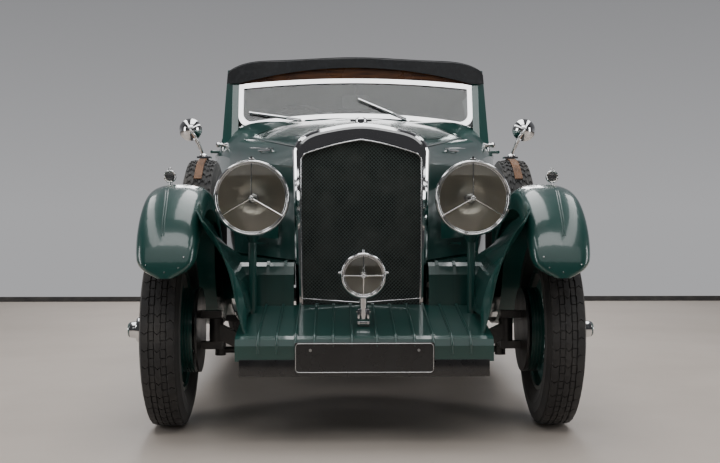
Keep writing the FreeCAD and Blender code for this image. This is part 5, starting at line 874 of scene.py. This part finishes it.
def rim_section(radius, width, depth, count=10):
    """A half-round rim, its crown towards -Y."""
    turns = [math.pi * n / count for n in range(count + 1)]
    crown = [(-depth * math.sin(t), radius - width / 2 + width / 2 * math.cos(t)) for t in turns]
    return crown + [(depth * 0.5, radius - width), (depth * 0.5, radius)]


def lens_section(radius, bulge, thickness=0.003, count=10):
    """A shallow dome of glass of even thickness, closed on the axis."""
    front = [(-bulge * (1 - (n / count) ** 2), radius * n / count) for n in range(count + 1)]
    return front + [(run + thickness, r) for run, r in reversed(front)]


# %% Headlamps
LAMP_X, LAMP_Y, LAMP_Z, LAMP_RADIUS = 0.419, at(-0.168), 0.888, 0.144
FOG_X, FOG_Y, FOG_Z, FOG_RADIUS = 0, at(-0.335), 0.604, 0.084
# The holder and its bulb, as places ahead of the dish's depth and shares of the hub's radius.
HOLDER = ((0.002, 0), (0.002, 1), (-0.012, 1), (-0.014, 0.86), (-0.030, 0.80), (-0.033, 0.5), (-0.033, 0))
BULB = (
    (-0.030, 0), (-0.030, 0.40), (-0.042, 0.62), (-0.052, 0.66), (-0.062, 0.50), (-0.068, 0.22), (-0.069, 0),
)


def round_lamp(name, centre, radius, depth, bars, glass, hub):
    """A dish, its bulb, a rim, a lens and the bars across it, each with its own finish."""
    x, y, z = centre

    def part(kind, section, behind, steps):
        return turned(name + kind, section, (x, y + behind, z), "Y", steps)

    def on_hub(table, least):
        return [(depth + run, max(least, hub * share)) for run, share in table]

    def at_rim(degrees):
        turn, reach = math.radians(degrees), radius - 0.008
        return (x + reach * math.sin(turn), y - 0.0050, z + reach * math.cos(turn))

    dish = part("_dish", dish_section(radius - 0.010, depth), 0.004, 72)
    finished(dish, reflector, angle=60)
    holder = finished(part("_holder", on_hub(HOLDER, 0.001), 0, 28), dull_plating)
    bulb = finished(part("_bulb", on_hub(BULB, 0.0005), 0, 24), lamp_clear, angle=60)
    rim = part("_rim", rim_section(radius, 0.013, 0.012), 0, 96)
    second = part("_rim_step", rim_section(radius - 0.012, 0.005, 0.004), -0.001, 96)
    rims = plated(name + "_rims", [rim, second], angle=50)
    lens = part("_glass", lens_section(radius - 0.013, 0.016), -0.001, 64)
    finished(lens, glass, angle=60)
    cross = [bar(name + "_bar", (x, y - 0.0185, z), at_rim(turn), 0.0022, 8) for turn in bars]
    cross.append(part("_boss", rim_section(0.0095, 0.0090, 0.006), -0.018, 24))
    plated(name + "_bars", cross)
    bowl = part("_bowl", dish_section(radius - 0.003, depth * 1.95, 0.002, 0.004), 0.007, 72)
    finished(bowl, plating, angle=60)
    return [dish, holder, bulb, rims, lens, cross[0], bowl]


lamp_pieces = []
for side, name in ((1, "headlamp_left"), (-1, "headlamp_right")):
    x = side * LAMP_X
    centre = (x, LAMP_Y, LAMP_Z)
    lamp_pieces += round_lamp(name, centre, LAMP_RADIUS, 0.108, (0, 120, 240), lamp_clear, 0.021)
    low = (x - 0.010, LAMP_Y - 0.006, LAMP_Z + 0.1405)
    high = (x + 0.010, LAMP_Y + 0.010, LAMP_Z + 0.1505)
    tip, end = (x, LAMP_Y - 0.008, LAMP_Z + 0.153), (x, LAMP_Y + 0.012, LAMP_Z + 0.153)
    clip = [block(name + "_clip", low, high), bar(name + "_screw", tip, end, 0.0045, 16)]
    lamp_pieces.append(plated(name + "_clips", clip))
centre = (FOG_X, FOG_Y, FOG_Z)
lamp_pieces += round_lamp("fog_lamp", centre, FOG_RADIUS, 0.060, (0, 90, 180, 270), lamp_glass, 0.016)
for piece in lamp_pieces:
    if piece.name.endswith(("_glass", "_bulb")):
        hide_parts("lamp_lenses")
    else:
        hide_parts("lamp_bowls")
print("lamp pieces", len(lamp_pieces))

# %% [markdown]
# The fog lamp stands on a plated foot between two cheeks with bolts, and has a small knob on its
# rim at the top and at each side, where the yoke holds it.

# %% The fog lamp's foot, cheeks and knobs
foot_y = FOG_Y + 0.026
ear_y, ear_z, stud_z = FOG_Y + 0.006, FOG_Z + 0.010, 0.4305
knob, knob_top = (0, FOG_Y + 0.004, FOG_Z + 0.082), (0, FOG_Y + 0.004, FOG_Z + 0.096)
parts = [
    block("fog_foot", (-0.024, foot_y - 0.030, 0.424), (0.024, foot_y + 0.026, 0.437), 0.003),
    block("fog_cheek_a", (-0.022, foot_y - 0.016, 0.434), (-0.013, foot_y + 0.016, 0.482), 0.003),
    block("fog_cheek_b", (0.013, foot_y - 0.016, 0.434), (0.022, foot_y + 0.016, 0.482), 0.003),
    bar("fog_stem", (0, foot_y, 0.432), (0, foot_y, 0.530), 0.0115, 24, 0.015),
    bar("fog_bolt", (-0.027, foot_y, 0.470), (0.027, foot_y, 0.470), 0.0050, 6),
    bar("fog_knob", knob, knob_top, 0.0055, 16, 0.0035),
]
for side in (-1, 1):
    inner, outer = [(side * x, ear_y, ear_z) for x in (0.082, 0.092)]
    parts.append(bar("fog_ear", inner, outer, 0.0065, 16, 0.004))
    front, back = [(side * 0.017, foot_y - y, stud_z) for y in (0.033, 0.028)]
    parts.append(bar("fog_stud", front, back, 0.0040, 6))
plated("fog_mount", parts)

# %% [markdown]
# ## The raised hood
# The hood is one stretched sheet of double-weave cloth over bows, from the header to the body's rear
# deck. It is laid over the solid hood: a grid of points is dropped on its outside, station by station,
# and where the solid has a window the last point is moved to the window's edge. The cloth then sinks
# a little between the bows, as real cloth under tension does, and gets a wall of its own.

# %% Lay a grid of points over the solid hood
HOOD_FRONT, HOOD_REAR, HOOD_MIDDLE = -0.3822, 1.6035, 1.10
ROWS, COLUMNS = 124, 131
BOWS = (-0.345, 0.02, 0.42, 0.82, 1.14)


def out_from(y, turn):
    """The hood's middle at a station, and the way out from it at an angle."""
    return Vector((0, y, HOOD_MIDDLE)), Vector((math.sin(turn), 0, math.cos(turn)))


def on_hood(y, turn):
    """The place on the outside of the solid hood at a station and an angle, or nothing."""
    middle, away = out_from(y, turn)
    return struck(nodes["hood"], middle + away * 1.6, -away, distance=1.45)[0]


def edge_between(y, found, missing):
    """Halves the angle between a hit and a miss until the edge is known to a tenth of a millimetre."""
    for _ in range(12):
        half = (found + missing) / 2
        if on_hood(y, half) is None:
            missing = half
        else:
            found = half
    return on_hood(y, found)


angles = [math.radians(-89.4 + 178.8 * n / (COLUMNS - 1)) for n in range(COLUMNS)]
laid = []
for row in range(ROWS):
    y = HOOD_FRONT + (HOOD_REAR - HOOD_FRONT) * row / (ROWS - 1)
    line = [on_hood(y, turn) for turn in angles]
    for n, place in enumerate(line):
        beside = [m for m in (n - 1, n + 1) if 0 <= m < COLUMNS and line[m] is not None]
        laid.append(edge_between(y, angles[beside[0]], angles[n]) if place is None and beside else place)
print("hood points", sum(place is not None for place in laid), "of", ROWS * COLUMNS)

# %% Make the sheet from a grid primitive
OVER = 0.0015  # how far the sheet lies inside the solid's outer face
SINK, RIPPLE, GATHER = 0.006, 0.0011, 0.0022
SHOULDER, CROWN = 1.45, 0.15  # the sag and the ripples fade in above the shoulder


def inset_at(place):
    """How far the cloth lies inside the solid: it sinks between bows, ripples and gathers behind."""
    x, y, z = place
    before = [b for b in BOWS if b <= y]
    after = [b for b in BOWS if b > y]
    sink = gather = 0.0
    if before and after:
        sink = SINK * math.sin(math.pi * (y - before[-1]) / (after[0] - before[-1])) ** 2
    if y > 1.0:
        fade = min(1, (y - 1.0) / 0.5) * math.sin(math.pi * min(1, (1.62 - y) / 0.6))
        gather = GATHER * math.sin(x * 64) * fade
    high = max(0.0, min(1.0, (z - SHOULDER) / CROWN))
    ripple = RIPPLE * math.sin(x * 23 + y * 7) * math.sin(y * 31 + 1.3) * high
    return sink * high + OVER + ripple + abs(gather)


nothing_selected()
bpy.ops.mesh.primitive_grid_add(x_subdivisions=COLUMNS - 1, y_subdivisions=ROWS - 1, size=2)
hood_sheet = newest("hood_sheet")
for vertex, place in zip(hood_sheet.data.vertices, laid):
    if place is not None:
        inward = (Vector((0, place.y, HOOD_MIDDLE)) - place).normalized()
        vertex.co = place + inward * inset_at(place)
with editing(hood_sheet):
    mesh = bmesh.from_edit_mesh(hood_sheet.data)
    for vertex, place in zip(mesh.verts, laid):
        vertex.select = place is None
    mesh.select_flush_mode()
    bmesh.update_edit_mesh(hood_sheet.data)
    bpy.ops.mesh.delete(type="VERT")
print("sheet faces", len(hood_sheet.data.polygons))

# %% [markdown]
# In front the cloth turns down over the header as a band, whose lower edge is an arch. Behind, it ends
# in a short upright edge on the rear deck. Both are made by extruding the sheet's end edges and then
# placing the new points.

# %% The band over the header and the rear edge
BAND_SIDE, BAND_CENTRE, SCREEN_HALF = 1.490, 1.572, 0.596


def arch_height(x):
    """The height of the arch of the band's lower edge, flat outside the screen."""
    if abs(x) >= SCREEN_HALF:
        return BAND_SIDE
    rise = BAND_CENTRE - BAND_SIDE
    radius = (SCREEN_HALF ** 2 + rise ** 2) / (2 * rise)
    return BAND_CENTRE - radius + math.sqrt(radius ** 2 - x ** 2)


def turn_edge(test, place):
    """Extrudes the sheet's edges that pass a test, and places the new points."""
    with editing(hood_sheet):
        bpy.ops.mesh.select_mode(type="EDGE")
        bpy.ops.mesh.select_all(action="DESELECT")
        mesh = bmesh.from_edit_mesh(hood_sheet.data)
        for edge in mesh.edges:
            edge.select = edge.is_boundary and all(test(v.co) for v in edge.verts)
        bmesh.update_edit_mesh(hood_sheet.data)
        bpy.ops.mesh.extrude_region_move()
        mesh = bmesh.from_edit_mesh(hood_sheet.data)
        for vertex in mesh.verts:
            if vertex.select:
                vertex.co = place(vertex.co)
        bmesh.update_edit_mesh(hood_sheet.data)
        bpy.ops.mesh.select_mode(type="VERT")


def band_edge(co):
    x = co.x - math.copysign(min(abs(co.x), 0.004), co.x)
    return Vector((x, HOOD_FRONT - 0.0006, min(arch_height(co.x), co.z - 0.002)))


turn_edge(lambda co: co.y < HOOD_FRONT + 0.003 and co.z > BAND_SIDE + 0.004, band_edge)
turn_edge(lambda co: co.y > HOOD_REAR - 0.004, lambda co: Vector((co.x * 0.99, HOOD_REAR, 1.158)))
with editing(hood_sheet):
    bpy.ops.mesh.normals_make_consistent(inside=False)
applied(hood_sheet, "wall", "SOLIDIFY", thickness=0.0042, offset=-1)
finished(hood_sheet, hood_cloth, angle=60)
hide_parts("hood")

# %% [markdown]
# Seams cross the hood over each bow and run along its shoulders, and a bound edge goes round the rear
# window. They are thin round pipings of the same cloth, dropped on the sheet from above or behind.


# %% Seams and bindings
def dropped(start, aim, lift=0.0008):
    """A place on the finished sheet, found along a straight line, just proud of the cloth."""
    place, _ = struck(hood_sheet, start, aim)
    return None if place is None else place - Vector(aim) * lift


def met(places):
    return [place for place in places if place is not None]


seams = []
for y in BOWS:
    rays = [out_from(y, math.radians(-62 + 124 * n / 90)) for n in range(91)]
    points = [p for p in met(dropped(middle + away * 1.4, -away) for middle, away in rays) if p.z > 1.40]
    if len(points) > 3:
        seams.append(bead("hood_seam", points, 0.0030, sides=2))
for side in (-1, 1):
    points = []
    for share in [n / 69 for n in range(70)]:
        y = HOOD_FRONT + 0.012 + (1.25 - HOOD_FRONT) * share
        points.append(dropped((side * (0.560 - 0.07 * share ** 2), y, 2.2), (0, 0, -1)))
    seams.append(bead("hood_seam", met(points), 0.0026, sides=2))
window = box_points(0.272, 1.332, 1.508, 0.045, 6, 2.4)
window_line = met(dropped(start, (0, -1, 0), 0.0015) for start in window)
seams.append(bead("window_binding", window_line, 0.0042, closed=True, sides=2))
hood_seams = finished(joined("hood_seams", seams), hood_cloth, angle=60)

# %% [markdown]
# ## Seats
# A seat of this time is hide over horsehair and springs, pleated by hand. Each cushion starts as a
# slightly smaller copy of its solid, is remeshed evenly, and is then blown up by a cloth simulation
# with a little pressure, so that its faces crown and its sides pull in between the corners. No point
# may move more than a set distance. The pleats and the piping come after, since a remesh erases them.

# %% Copies of the seat solids, one for each cushion
SHRINK, FARTHEST, VOXEL = 0.011, 0.015, 0.010
BACK_LEAN = math.radians(16)


def loose_copies(node):
    with editing(copied(nodes[node], node + "_copy")):
        bpy.ops.mesh.remove_doubles(threshold=0.0001)
        bpy.ops.mesh.separate(type="LOOSE")
    return list(bpy.context.selected_objects)


def middle_of(piece):
    axes = list(zip(*[vertex.co for vertex in piece.data.vertices]))
    low, high = Vector([min(axis) for axis in axes]), Vector([max(axis) for axis in axes])
    return (low + high) / 2, (high - low) / 2


pads = []
for node in ("seat_cushions", "seat_backs"):
    for pad in loose_copies(node):
        middle, half = middle_of(pad)
        where = "bench" if middle.y > 0.9 else ("left" if middle.x > 0 else "right")
        pad.name = node[5:-1] + "_" + where
        with editing(pad):
            bpy.ops.transform.resize(value=[(h - SHRINK) / h for h in half], center_override=middle)
        pad.data.remesh_voxel_size = VOXEL
        bpy.ops.object.voxel_remesh()
        pads.append((pad, node, middle, half))
print("pads", [(pad.name, len(pad.data.polygons)) for pad, *_ in pads])

# %% Blow the pads up, all in one run
FRAMES = 20
CLOTH = {
    "quality": 4, "mass": 0.3, "tension_stiffness": 18, "compression_stiffness": 18,
    "bending_stiffness": 1.5, "use_pressure": True, "uniform_pressure_force": 4.0,
}
shapes_before = [[vertex.co.copy() for vertex in pad.data.vertices] for pad, *_ in pads]
for pad, *_ in pads:
    puff = pad.modifiers.new("puff", "CLOTH")
    for setting, value in CLOTH.items():
        setattr(puff.settings, setting, value)
    puff.settings.effector_weights.gravity = 0
    puff.point_cache.frame_start = 1
    puff.point_cache.frame_end = FRAMES
for frame_number in range(1, FRAMES + 1):
    scene.frame_set(frame_number)
for pad, *_ in pads:
    only(pad)
    bpy.ops.object.modifier_apply(modifier="puff")
scene.frame_set(1)
for (pad, *_), places in zip(pads, shapes_before):
    moved = 0.0
    for vertex, before in zip(pad.data.vertices, places):
        step = vertex.co - before
        if step.length > FARTHEST:
            vertex.co = before + step.normalized() * FARTHEST
        moved = max(moved, min(step.length, FARTHEST))
    print(pad.name, "moved up to", round(moved, 4))

# %% [markdown]
# One subdivision rounds the facets. The pleats run away from the knees on a cushion and upwards on a
# back: each is a narrow valley pulled in by its stitching, deepest in the middle of its run.

# %% Subdivide, then sew the pleats
PLEAT, DEEP, MARGIN = 0.068, 0.0062, 0.05


def lean_back(vector, way=1):
    return Matrix.Rotation(-BACK_LEAN * way, 3, "X") @ Vector(vector)


def pleat_depth(vertex, is_back, middle, half, count):
    """How far the stitching pulls a point in."""
    local = vertex.co - middle
    pitch = (half.x * 2 - MARGIN * 2) / count
    off = (local.x + half.x - MARGIN) / pitch
    near = abs(off - round(off)) * pitch
    valley = math.exp(-(near / 0.0052) ** 2) + 0.35 * math.exp(-(near / 0.020) ** 2)
    facing = -lean_back(vertex.normal, -1).y if is_back else vertex.normal.z
    share = max(0.0, min(1.0, (facing - 0.35) / 0.4))
    run = local.z / half.z if is_back else local.y / half.y
    fade = max(0.0, 1 - abs(run) ** 5)
    return DEEP * valley * share * fade if -0.2 <= off <= count + 0.2 else 0.0


for pad, node, middle, half in pads:
    applied(pad, "rounder", "SUBSURF", levels=1, render_levels=1)
    count = max(3, round((half.x * 2 - MARGIN * 2) / PLEAT))
    is_back = node == "seat_backs"
    points = pad.data.vertices
    pulls = [point.normal * pleat_depth(point, is_back, middle, half, count) for point in points]
    for vertex, pull in zip(points, pulls):
        vertex.co -= pull
    finished(pad, seat_hide, angle=60)
    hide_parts(node)
print("pleated", len(pads))

# %% [markdown]
# Piping covers the seam round each pad's two rims. Rays from outside, aimed at the pad's middle, find
# its rounded corner all the way round, and a thin bead is laid along the places that they reach.

# %% Piping on the pads
pipes = []
for pad, node, middle, half in pads:
    for rim in (-0.80, 0.80):
        points = []
        for turn in [math.tau * n / 80 for n in range(80)]:
            c, s = math.cos(turn), math.sin(turn)
            k = 1 / max(abs(c), abs(s))
            if node == "seat_backs":
                depth = max(half.y - half.z * math.sin(BACK_LEAN), 0.05)
                aim = lean_back((c * k * half.x, rim * depth, s * k * half.z))
            else:
                aim = Vector((c * k * half.x, s * k * half.y, rim * half.z))
            place, _ = struck(pad, middle + aim * 1.6, -aim.normalized())
            if place is not None:
                points.append(place + (place - middle).normalized() * 0.0004)
        if len(points) > 40:
            pipes.append(bead("seat_piping", points, 0.0034, closed=True, sides=1))
finished(joined("seat_pipings", pipes), trim_hide, angle=60)
print("pipings", len(pipes))

# %% [markdown]
# ## Trim placed with the camera's eye
# Swages, beading and rivets are read from the photograph as places in the picture. A ray from the
# camera through such a place meets the solid that carries the trim, so each piece lies on its panel
# and also falls where the picture shows it.

# %% A ray from the camera through a place in the picture
PICTURE_WIDTH, PICTURE_MIDDLE = 720, (360, 231.5)


def seen(px, py, node):
    reach = camera.data.lens / camera.data.sensor_width * PICTURE_WIDTH
    aim = Vector(((px - PICTURE_MIDDLE[0]) / reach, (PICTURE_MIDDLE[1] - py) / reach, -1)).normalized()
    return struck(nodes[node], camera.location, camera.rotation_euler.to_matrix() @ aim)


def traced(name, node, places, radius, lift):
    """A bead laid on a solid under a broken line in the picture."""
    points = []
    for (x0, y0), (x1, y1) in zip(places, places[1:] + places[-1:]):
        for n in range(6 if (x0, y0) != (x1, y1) else 1):
            place, normal = seen(x0 + (x1 - x0) * n / 6, y0 + (y1 - y0) * n / 6, node)
            if place is not None and (not points or (place - points[-1]).length < 0.12):
                points.append(place + normal * lift)
    return bead(name, points, radius, sides=2)


# %% Swages and rivets on the front wings
swages = []
for shift in (-1.1, 1.1):
    line = [(x + shift, y) for x, y in ((167.0, 190), (165.5, 205), (163.5, 220), (162.6, 236))]
    swages.append(traced("wing_swage", "front_wings", line, 0.0022, 0.0002))
finished(joined("wing_swages", both_sides("wing_swage", swages)), green, angle=60)
rivets = []
for px, py in ((164, 272.5), (145, 265), (183.5, 257), (178, 268)):
    place, normal = seen(px, py, "front_wings")
    rivets.append(bar("wing_rivet", place - normal * 0.001, place + normal * 0.0018, 0.0034, 10, 0.0018))
plated("wing_rivets", both_sides("wing_rivets", rivets))
print("wing swages", len(swages), "rivets", len(rivets))

# %% [markdown]
# The apron's ribs end in small bright rolls at its nose. A fine bead follows each rib from the radiator
# forward over the nose: rays dropped from above find the top, and rays from in front find the face.

# %% Ribs of the apron
RIB_CENTRES = [side * (0.044 + 0.066 * n) for n in range(6) for side in (-1, 1)]
RIB_BACK, RIB_FRONT, NOSE_HIGH, NOSE_LOW = -1.735, -2.176, 0.396, 0.338
apron = nodes["front_apron"]
ribs = []
for x in RIB_CENTRES:
    points = []
    for n in range(26):
        start = (x, RIB_BACK + (RIB_FRONT - RIB_BACK) * n / 25, 0.60)
        place, normal = struck(apron, start, (0, 0, -1))
        if place is not None and place.z > 0.36:
            points.append(place + normal * 0.0006)
    for n in range(9):
        place, normal = struck(apron, (x, -3.0, NOSE_HIGH + (NOSE_LOW - NOSE_HIGH) * n / 8), (0, 1, 0))
        if place is not None and place.y < -2.15:
            points.append(place + normal * 0.0006)
    ribs.append(bead("apron_rib", points, 0.0048))
finished(joined("apron_ribs", ribs), green, angle=60)
print("ribs", len(ribs))

# %% A black sheet under the apron, painted shade for the dark recess there, and the plate's edge and bolts
PLATE_HALF, PLATE_LOW, PLATE_HIGH, PLATE_Y = 0.2415, 0.2745, 0.3755, -2.2244
# Painted shade: a thin black sheet stands where the underside behind the apron lies in shadow.
shade_sheet = block("apron_lip", (-0.440, -2.2185, 0.2585), (0.440, -2.2145, 0.3180), 0.0015)
finished(shade_sheet, plate_black)
edge_line = box_points(PLATE_HALF, PLATE_LOW, PLATE_HIGH, 0.012, 5, PLATE_Y)
parts = [bead("plate_edge", edge_line, 0.0014, closed=True, sides=1)]
for x in (-0.19, 0.19):
    parts.append(bar("plate_bolt", (x, -2.2232, 0.352), (x, -2.2262, 0.352), 0.0055, 6))
finished(joined("plate_edging", parts), dull_plating)

# %% [markdown]
# ## Hub nuts
# Each wire wheel is held by one large plated nut with a domed cap and two ears to strike with a
# mallet. The nut is turned on the wheel's own axle, and rides with the wheel.

# %% Nuts on the four road wheels
NUT_SECTION = [
    (0.058, 0.002), (0.058, 0.0515), (0.062, 0.0535), (0.078, 0.0535), (0.082, 0.0520), (0.100, 0.0515),
    (0.126, 0.0510), (0.1345, 0.0470), (0.1355, 0.0345), (0.148, 0.0325), (0.160, 0.0310), (0.1685, 0.0260),
    (0.1720, 0.0160), (0.1728, 0.002),
]
for corner, (x, y) in stations.items():
    side = math.copysign(1, x)
    section = [(side * run, radius) for run, radius in NUT_SECTION]
    parts = [turned("nut", section, (x, y, TYRE_RADIUS), "X", 48)]
    middle = Vector((x + side * 0.112, y, TYRE_RADIUS))
    for turn in (math.radians(25), math.radians(205)):
        out = Vector((0, math.sin(turn), math.cos(turn)))
        parts.append(bar("nut_ear", middle + out * 0.044, middle + out * 0.074, 0.0135, 10, 0.0095))
    plated("nut_" + corner, parts, "wheel_" + corner)

# %% [markdown]
# ## Mirrors and wing lamps
# The mirrors look backwards, so the photograph shows their plated domes and the stems that curve up
# to them. The wing lamps are small clear lenses in plated rims.

# %% Mirror domes, stems and faces
DOME = [(-0.030, 0.0002)] + [(-0.030 * (1 - (n / 10) ** 2), 0.0515 * n / 10) for n in range(1, 11)]
DOME += [(0.0005, 0.0515), (0.0005, 0.0002)]
STEM = [(0.712, -0.957, 1.090), (0.718, -0.968, 1.118), (0.729, -0.980, 1.150), (0.744, -0.990, 1.180),
        (0.757, -0.9915, 1.198), (0.769, -0.988, 1.211)]
COLLAR = [(0, 0.001), (0, 0.018), (0.005, 0.020), (0.012, 0.014), (0.016, 0.001)]
MIRROR = [(0, 0.0005), (0, 0.046), (0.0012, 0.0465), (0.0012, 0.0005)]
shells, faces = [], []
for side in (-1, 1):
    shells.append(turned("mirror_dome", DOME, (side * 0.77, -0.9585, 1.212), "Y", 56))
    shells.append(bead("mirror_stem", [(side * x, y, z) for x, y, z in STEM], 0.0056, sides=4))
    shells.append(turned("mirror_collar", COLLAR, (side * 0.712, -0.957, 1.0885), "Z", 24))
    faces.append(turned("mirror_glass", MIRROR, (side * 0.77, -0.932, 1.212), "Y", 48))
plated("mirror_shells", shells, angle=50)
finished(joined("mirror_faces", faces), mirror_face)

# %% Wing lamps
rims, disks, lenses = [], [], []
for x in (-0.745, 0.745):
    y, z = -1.7655, 0.9725
    rims.append(turned("wing_lamp_rim", rim_section(0.0250, 0.006, 0.005), (x, y, z), "Y", 40))
    disks.append(turned("wing_lamp_disk", dish_section(0.0185, 0.004, 0.001, 0.001, 8), (x, y, z), "Y", 32))
    lens = lens_section(0.0192, 0.004, 0.0012, 8)
    lenses.append(turned("wing_lamp_lens", lens, (x, y - 0.001, z), "Y", 32))
    loop = arc_points((x, z + 0.0285), 0.006, 0, 360, 14, y + 0.002)[:-1]
    rims.append(bead("wing_lamp_loop", loop, 0.0014, closed=True, sides=2))
plated("wing_lamp_rims", rims, angle=50)
finished(joined("wing_lamp_disks", disks), reflector, angle=60)
finished(joined("wing_lamp_lenses", lenses), lamp_clear, angle=60)

# %% [markdown]
# ## Clamps on the screen pillars and catches on the bonnet
# A short plated barrel clamps each pillar at its foot. On each side of the bonnet the picture shows a
# thin bright line and, just under it, a small lifting catch.

# %% Pillar clamps
HALF_CLAMP = [(0.034, 0.001), (0.034, 0.009), (0.028, 0.0135), (0.020, 0.0135), (0.013, 0.0095)]
CLAMP = [(-run, radius) for run, radius in HALF_CLAMP] + HALF_CLAMP[::-1]
clamps = [turned("clamp", CLAMP, (x, -0.452, 1.172), "X", 24) for x in (-0.672, 0.672)]
for x in (-0.672, 0.672):
    clamps.append(bar("clamp_screw", (x, -0.450, 1.158), (x, -0.458, 1.140), 0.006, 12, 0.004))
plated("pillar_clamps", clamps)

# %% Catches on the bonnet
catches = [traced("bonnet_line", "bonnet_sides", [(250.5, 148.0), (273.5, 148.4)], 0.0022, 0.0006)]
start, start_out = seen(261.0, 151.8, "bonnet_sides")
end, end_out = seen(273.0, 151.2, "bonnet_sides")
catches.append(bar("catch_grip", start + start_out * 0.011, end + end_out * 0.011, 0.0048))
step = (end - start).normalized() * 0.012
for foot, out in ((start + step, start_out), (end - step, end_out)):
    catches.append(bar("catch_foot", foot - out * 0.001, foot + out * 0.012, 0.0060, 12, 0.0042))
plated("bonnet_catches", both_sides("bonnet_catch", catches))

# %% A thin black strip along the foot of the wall
skirting = block("skirting", (-13, 4.19, 0), (13, 4.2, 0.045), 0)
skirting.data.materials.append(enamel)

# %% [markdown]
# ## Fittings on the doors, the boot and the tail
# None of these shows in the photograph, so they follow the practice of the time. The doors swing on
# their rear edges, so a lever handle sits near each front edge. A turning handle sits low on the boot
# lid, and the tail lamps get ruby lenses in plated rims.

# %% Door handles, one on each door
for side, name in ((1, "left"), (-1, "right")):
    door = nodes["door_" + name]
    root, out = struck(door, (side * 1.2, -0.245, 1.035), (-side, 0, 0))
    tip, _ = struck(door, (side * 1.2, -0.142, 1.030), (-side, 0, 0))
    grip = [
        root + out * 0.030 + Vector((0, -0.010, 0.001)), root + out * 0.031,
        root.lerp(tip, 0.4) + out * 0.033, root.lerp(tip, 0.75) + out * 0.031, tip + out * 0.026,
    ]
    plated("door_handle_" + name, [
        bar("handle_rose", root - out * 0.0005, root + out * 0.006, 0.016, 24, 0.012),
        bar("handle_neck", root + out * 0.004, root + out * 0.030, 0.0075, 16, 0.0065),
        bead("handle_grip", grip, 0.0066, sides=4),
        bar("handle_lock", root + out * 0.029, root + out * 0.0385, 0.0075, 16, 0.0055),
    ], "door_" + name)

# %% Handle of the boot lid, with its rose
root, out = struck(nodes["boot_lid"], (0, 3.2, 0.875), (0, -1, 0))
middle, across = root + out * 0.027, AXES["X"]
parts = [
    bar("boot_rose", root - out * 0.0005, root + out * 0.006, 0.019, 28, 0.014),
    bar("boot_neck", root + out * 0.004, root + out * 0.028, 0.008, 16, 0.007),
    bar("boot_grip", middle - across * 0.045, middle + across * 0.045, 0.0072, 16),
    bar("boot_lock", root + out * 0.026, root + out * 0.037, 0.0085, 16, 0.006),
]
for side in (-1, 1):
    near, far = middle + across * side * 0.043, middle + across * side * 0.053
    parts.append(bar("boot_grip_end", near, far, 0.0092, 16, 0.006))
plated("boot_handle", parts, "boot_lid")

# %% Ruby lenses and plated rims on the tail lamps
TAIL_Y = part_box("small_lamps")[1].y
TAIL_LENS = [(0.0, 0.0004), (0.0, 0.031), (0.002, 0.0305), (0.006, 0.026), (0.009, 0.018), (0.0105, 0.009),
             (0.011, 0.0004)]
TAIL_RIM = [(-0.004, 0.0300), (0.0035, 0.0300), (0.0055, 0.0325), (0.0035, 0.0362), (-0.004, 0.0368)]
rims, lenses = [], []
for x in (-0.300, 0.300):
    lenses.append(turned("tail_lens", TAIL_LENS, (x, TAIL_Y, 0.655), "Y", 40))
    rims.append(turned("tail_rim", TAIL_RIM, (x, TAIL_Y, 0.655), "Y", 48))
finished(joined("tail_lenses", lenses), red_glass, angle=60)
plated("tail_rims", rims, angle=50)
print("tail lamps at", round(TAIL_Y, 3))

# %% [markdown]
# ## Inside the cabin
# Each door carries a hide card on its inner face. A plain grid is stood up, and each of its points is
# moved out to the door's inner skin, so the card follows the curve of the door. The dashboard has two
# large dials and three small ones, with plated rims and pale pointers.

# %% Door cards
CARD_FRONT, CARD_LOW, CARD_LONG, CARD_HIGH = -0.225, 0.485, 0.785, 0.575
for side, name in ((1, "left"), (-1, "right")):
    nothing_selected()
    bpy.ops.mesh.primitive_grid_add(x_subdivisions=22, y_subdivisions=14, size=1, location=(0, 0, 0))
    card = newest("door_card_" + name)
    for vertex in card.data.vertices:
        y = CARD_FRONT + (vertex.co.x + 0.5) * CARD_LONG
        z = CARD_LOW + (vertex.co.y + 0.5) * CARD_HIGH
        place, _ = struck(nodes["door_" + name], (side * 0.30, y, z), (side, 0, 0))
        vertex.co = (side * (abs(place.x) - 0.0015 if place else 0.66), y, z)
    applied(card, "card", "SOLIDIFY", thickness=0.006, offset=-side)
    finished(card, trim_hide, "door_" + name, 40)

# %% Dials
DIALS = [(-0.420, 1.205, 0.042), (-0.200, 1.205, 0.042)]
DIALS += [(x, 1.212, 0.026) for x in (-0.060, 0.012, 0.084)]
FACE_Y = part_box("dashboard")[1].y
rims, faces, hands = [], [], []
for x, z, r in DIALS:
    rim = [(-0.002, r), (0.004, r), (0.0065, r + 0.002), (0.004, r + 0.0045), (-0.002, r + 0.005)]
    face = [(-0.001, 0.0004), (-0.001, r), (0.0018, r), (0.0018, 0.0004)]
    rims.append(turned("dial_rim", rim, (x, FACE_Y, z), "Y", 40))
    faces.append(turned("dial_face", face, (x, FACE_Y, z), "Y", 36))
    tip = (x + r * 0.55, FACE_Y + 0.0026, z + r * 0.55)
    hands.append(bar("dial_hand", (x, FACE_Y + 0.0026, z), tip, 0.0011, 6, 0.0006))
    inner, outer = [arc_points((x, z), r * share, -40, 220, 9, FACE_Y + 0.0022) for share in (0.78, 0.92)]
    hands += [bar("dial_mark", start, end, 0.0008, 4) for start, end in zip(inner, outer)]
plated("dial_rims", rims, angle=50)
finished(joined("dial_faces", faces), plate_black)
finished(joined("dial_hands", hands), mirror_face)
print("dials on the face at", round(FACE_Y, 3))
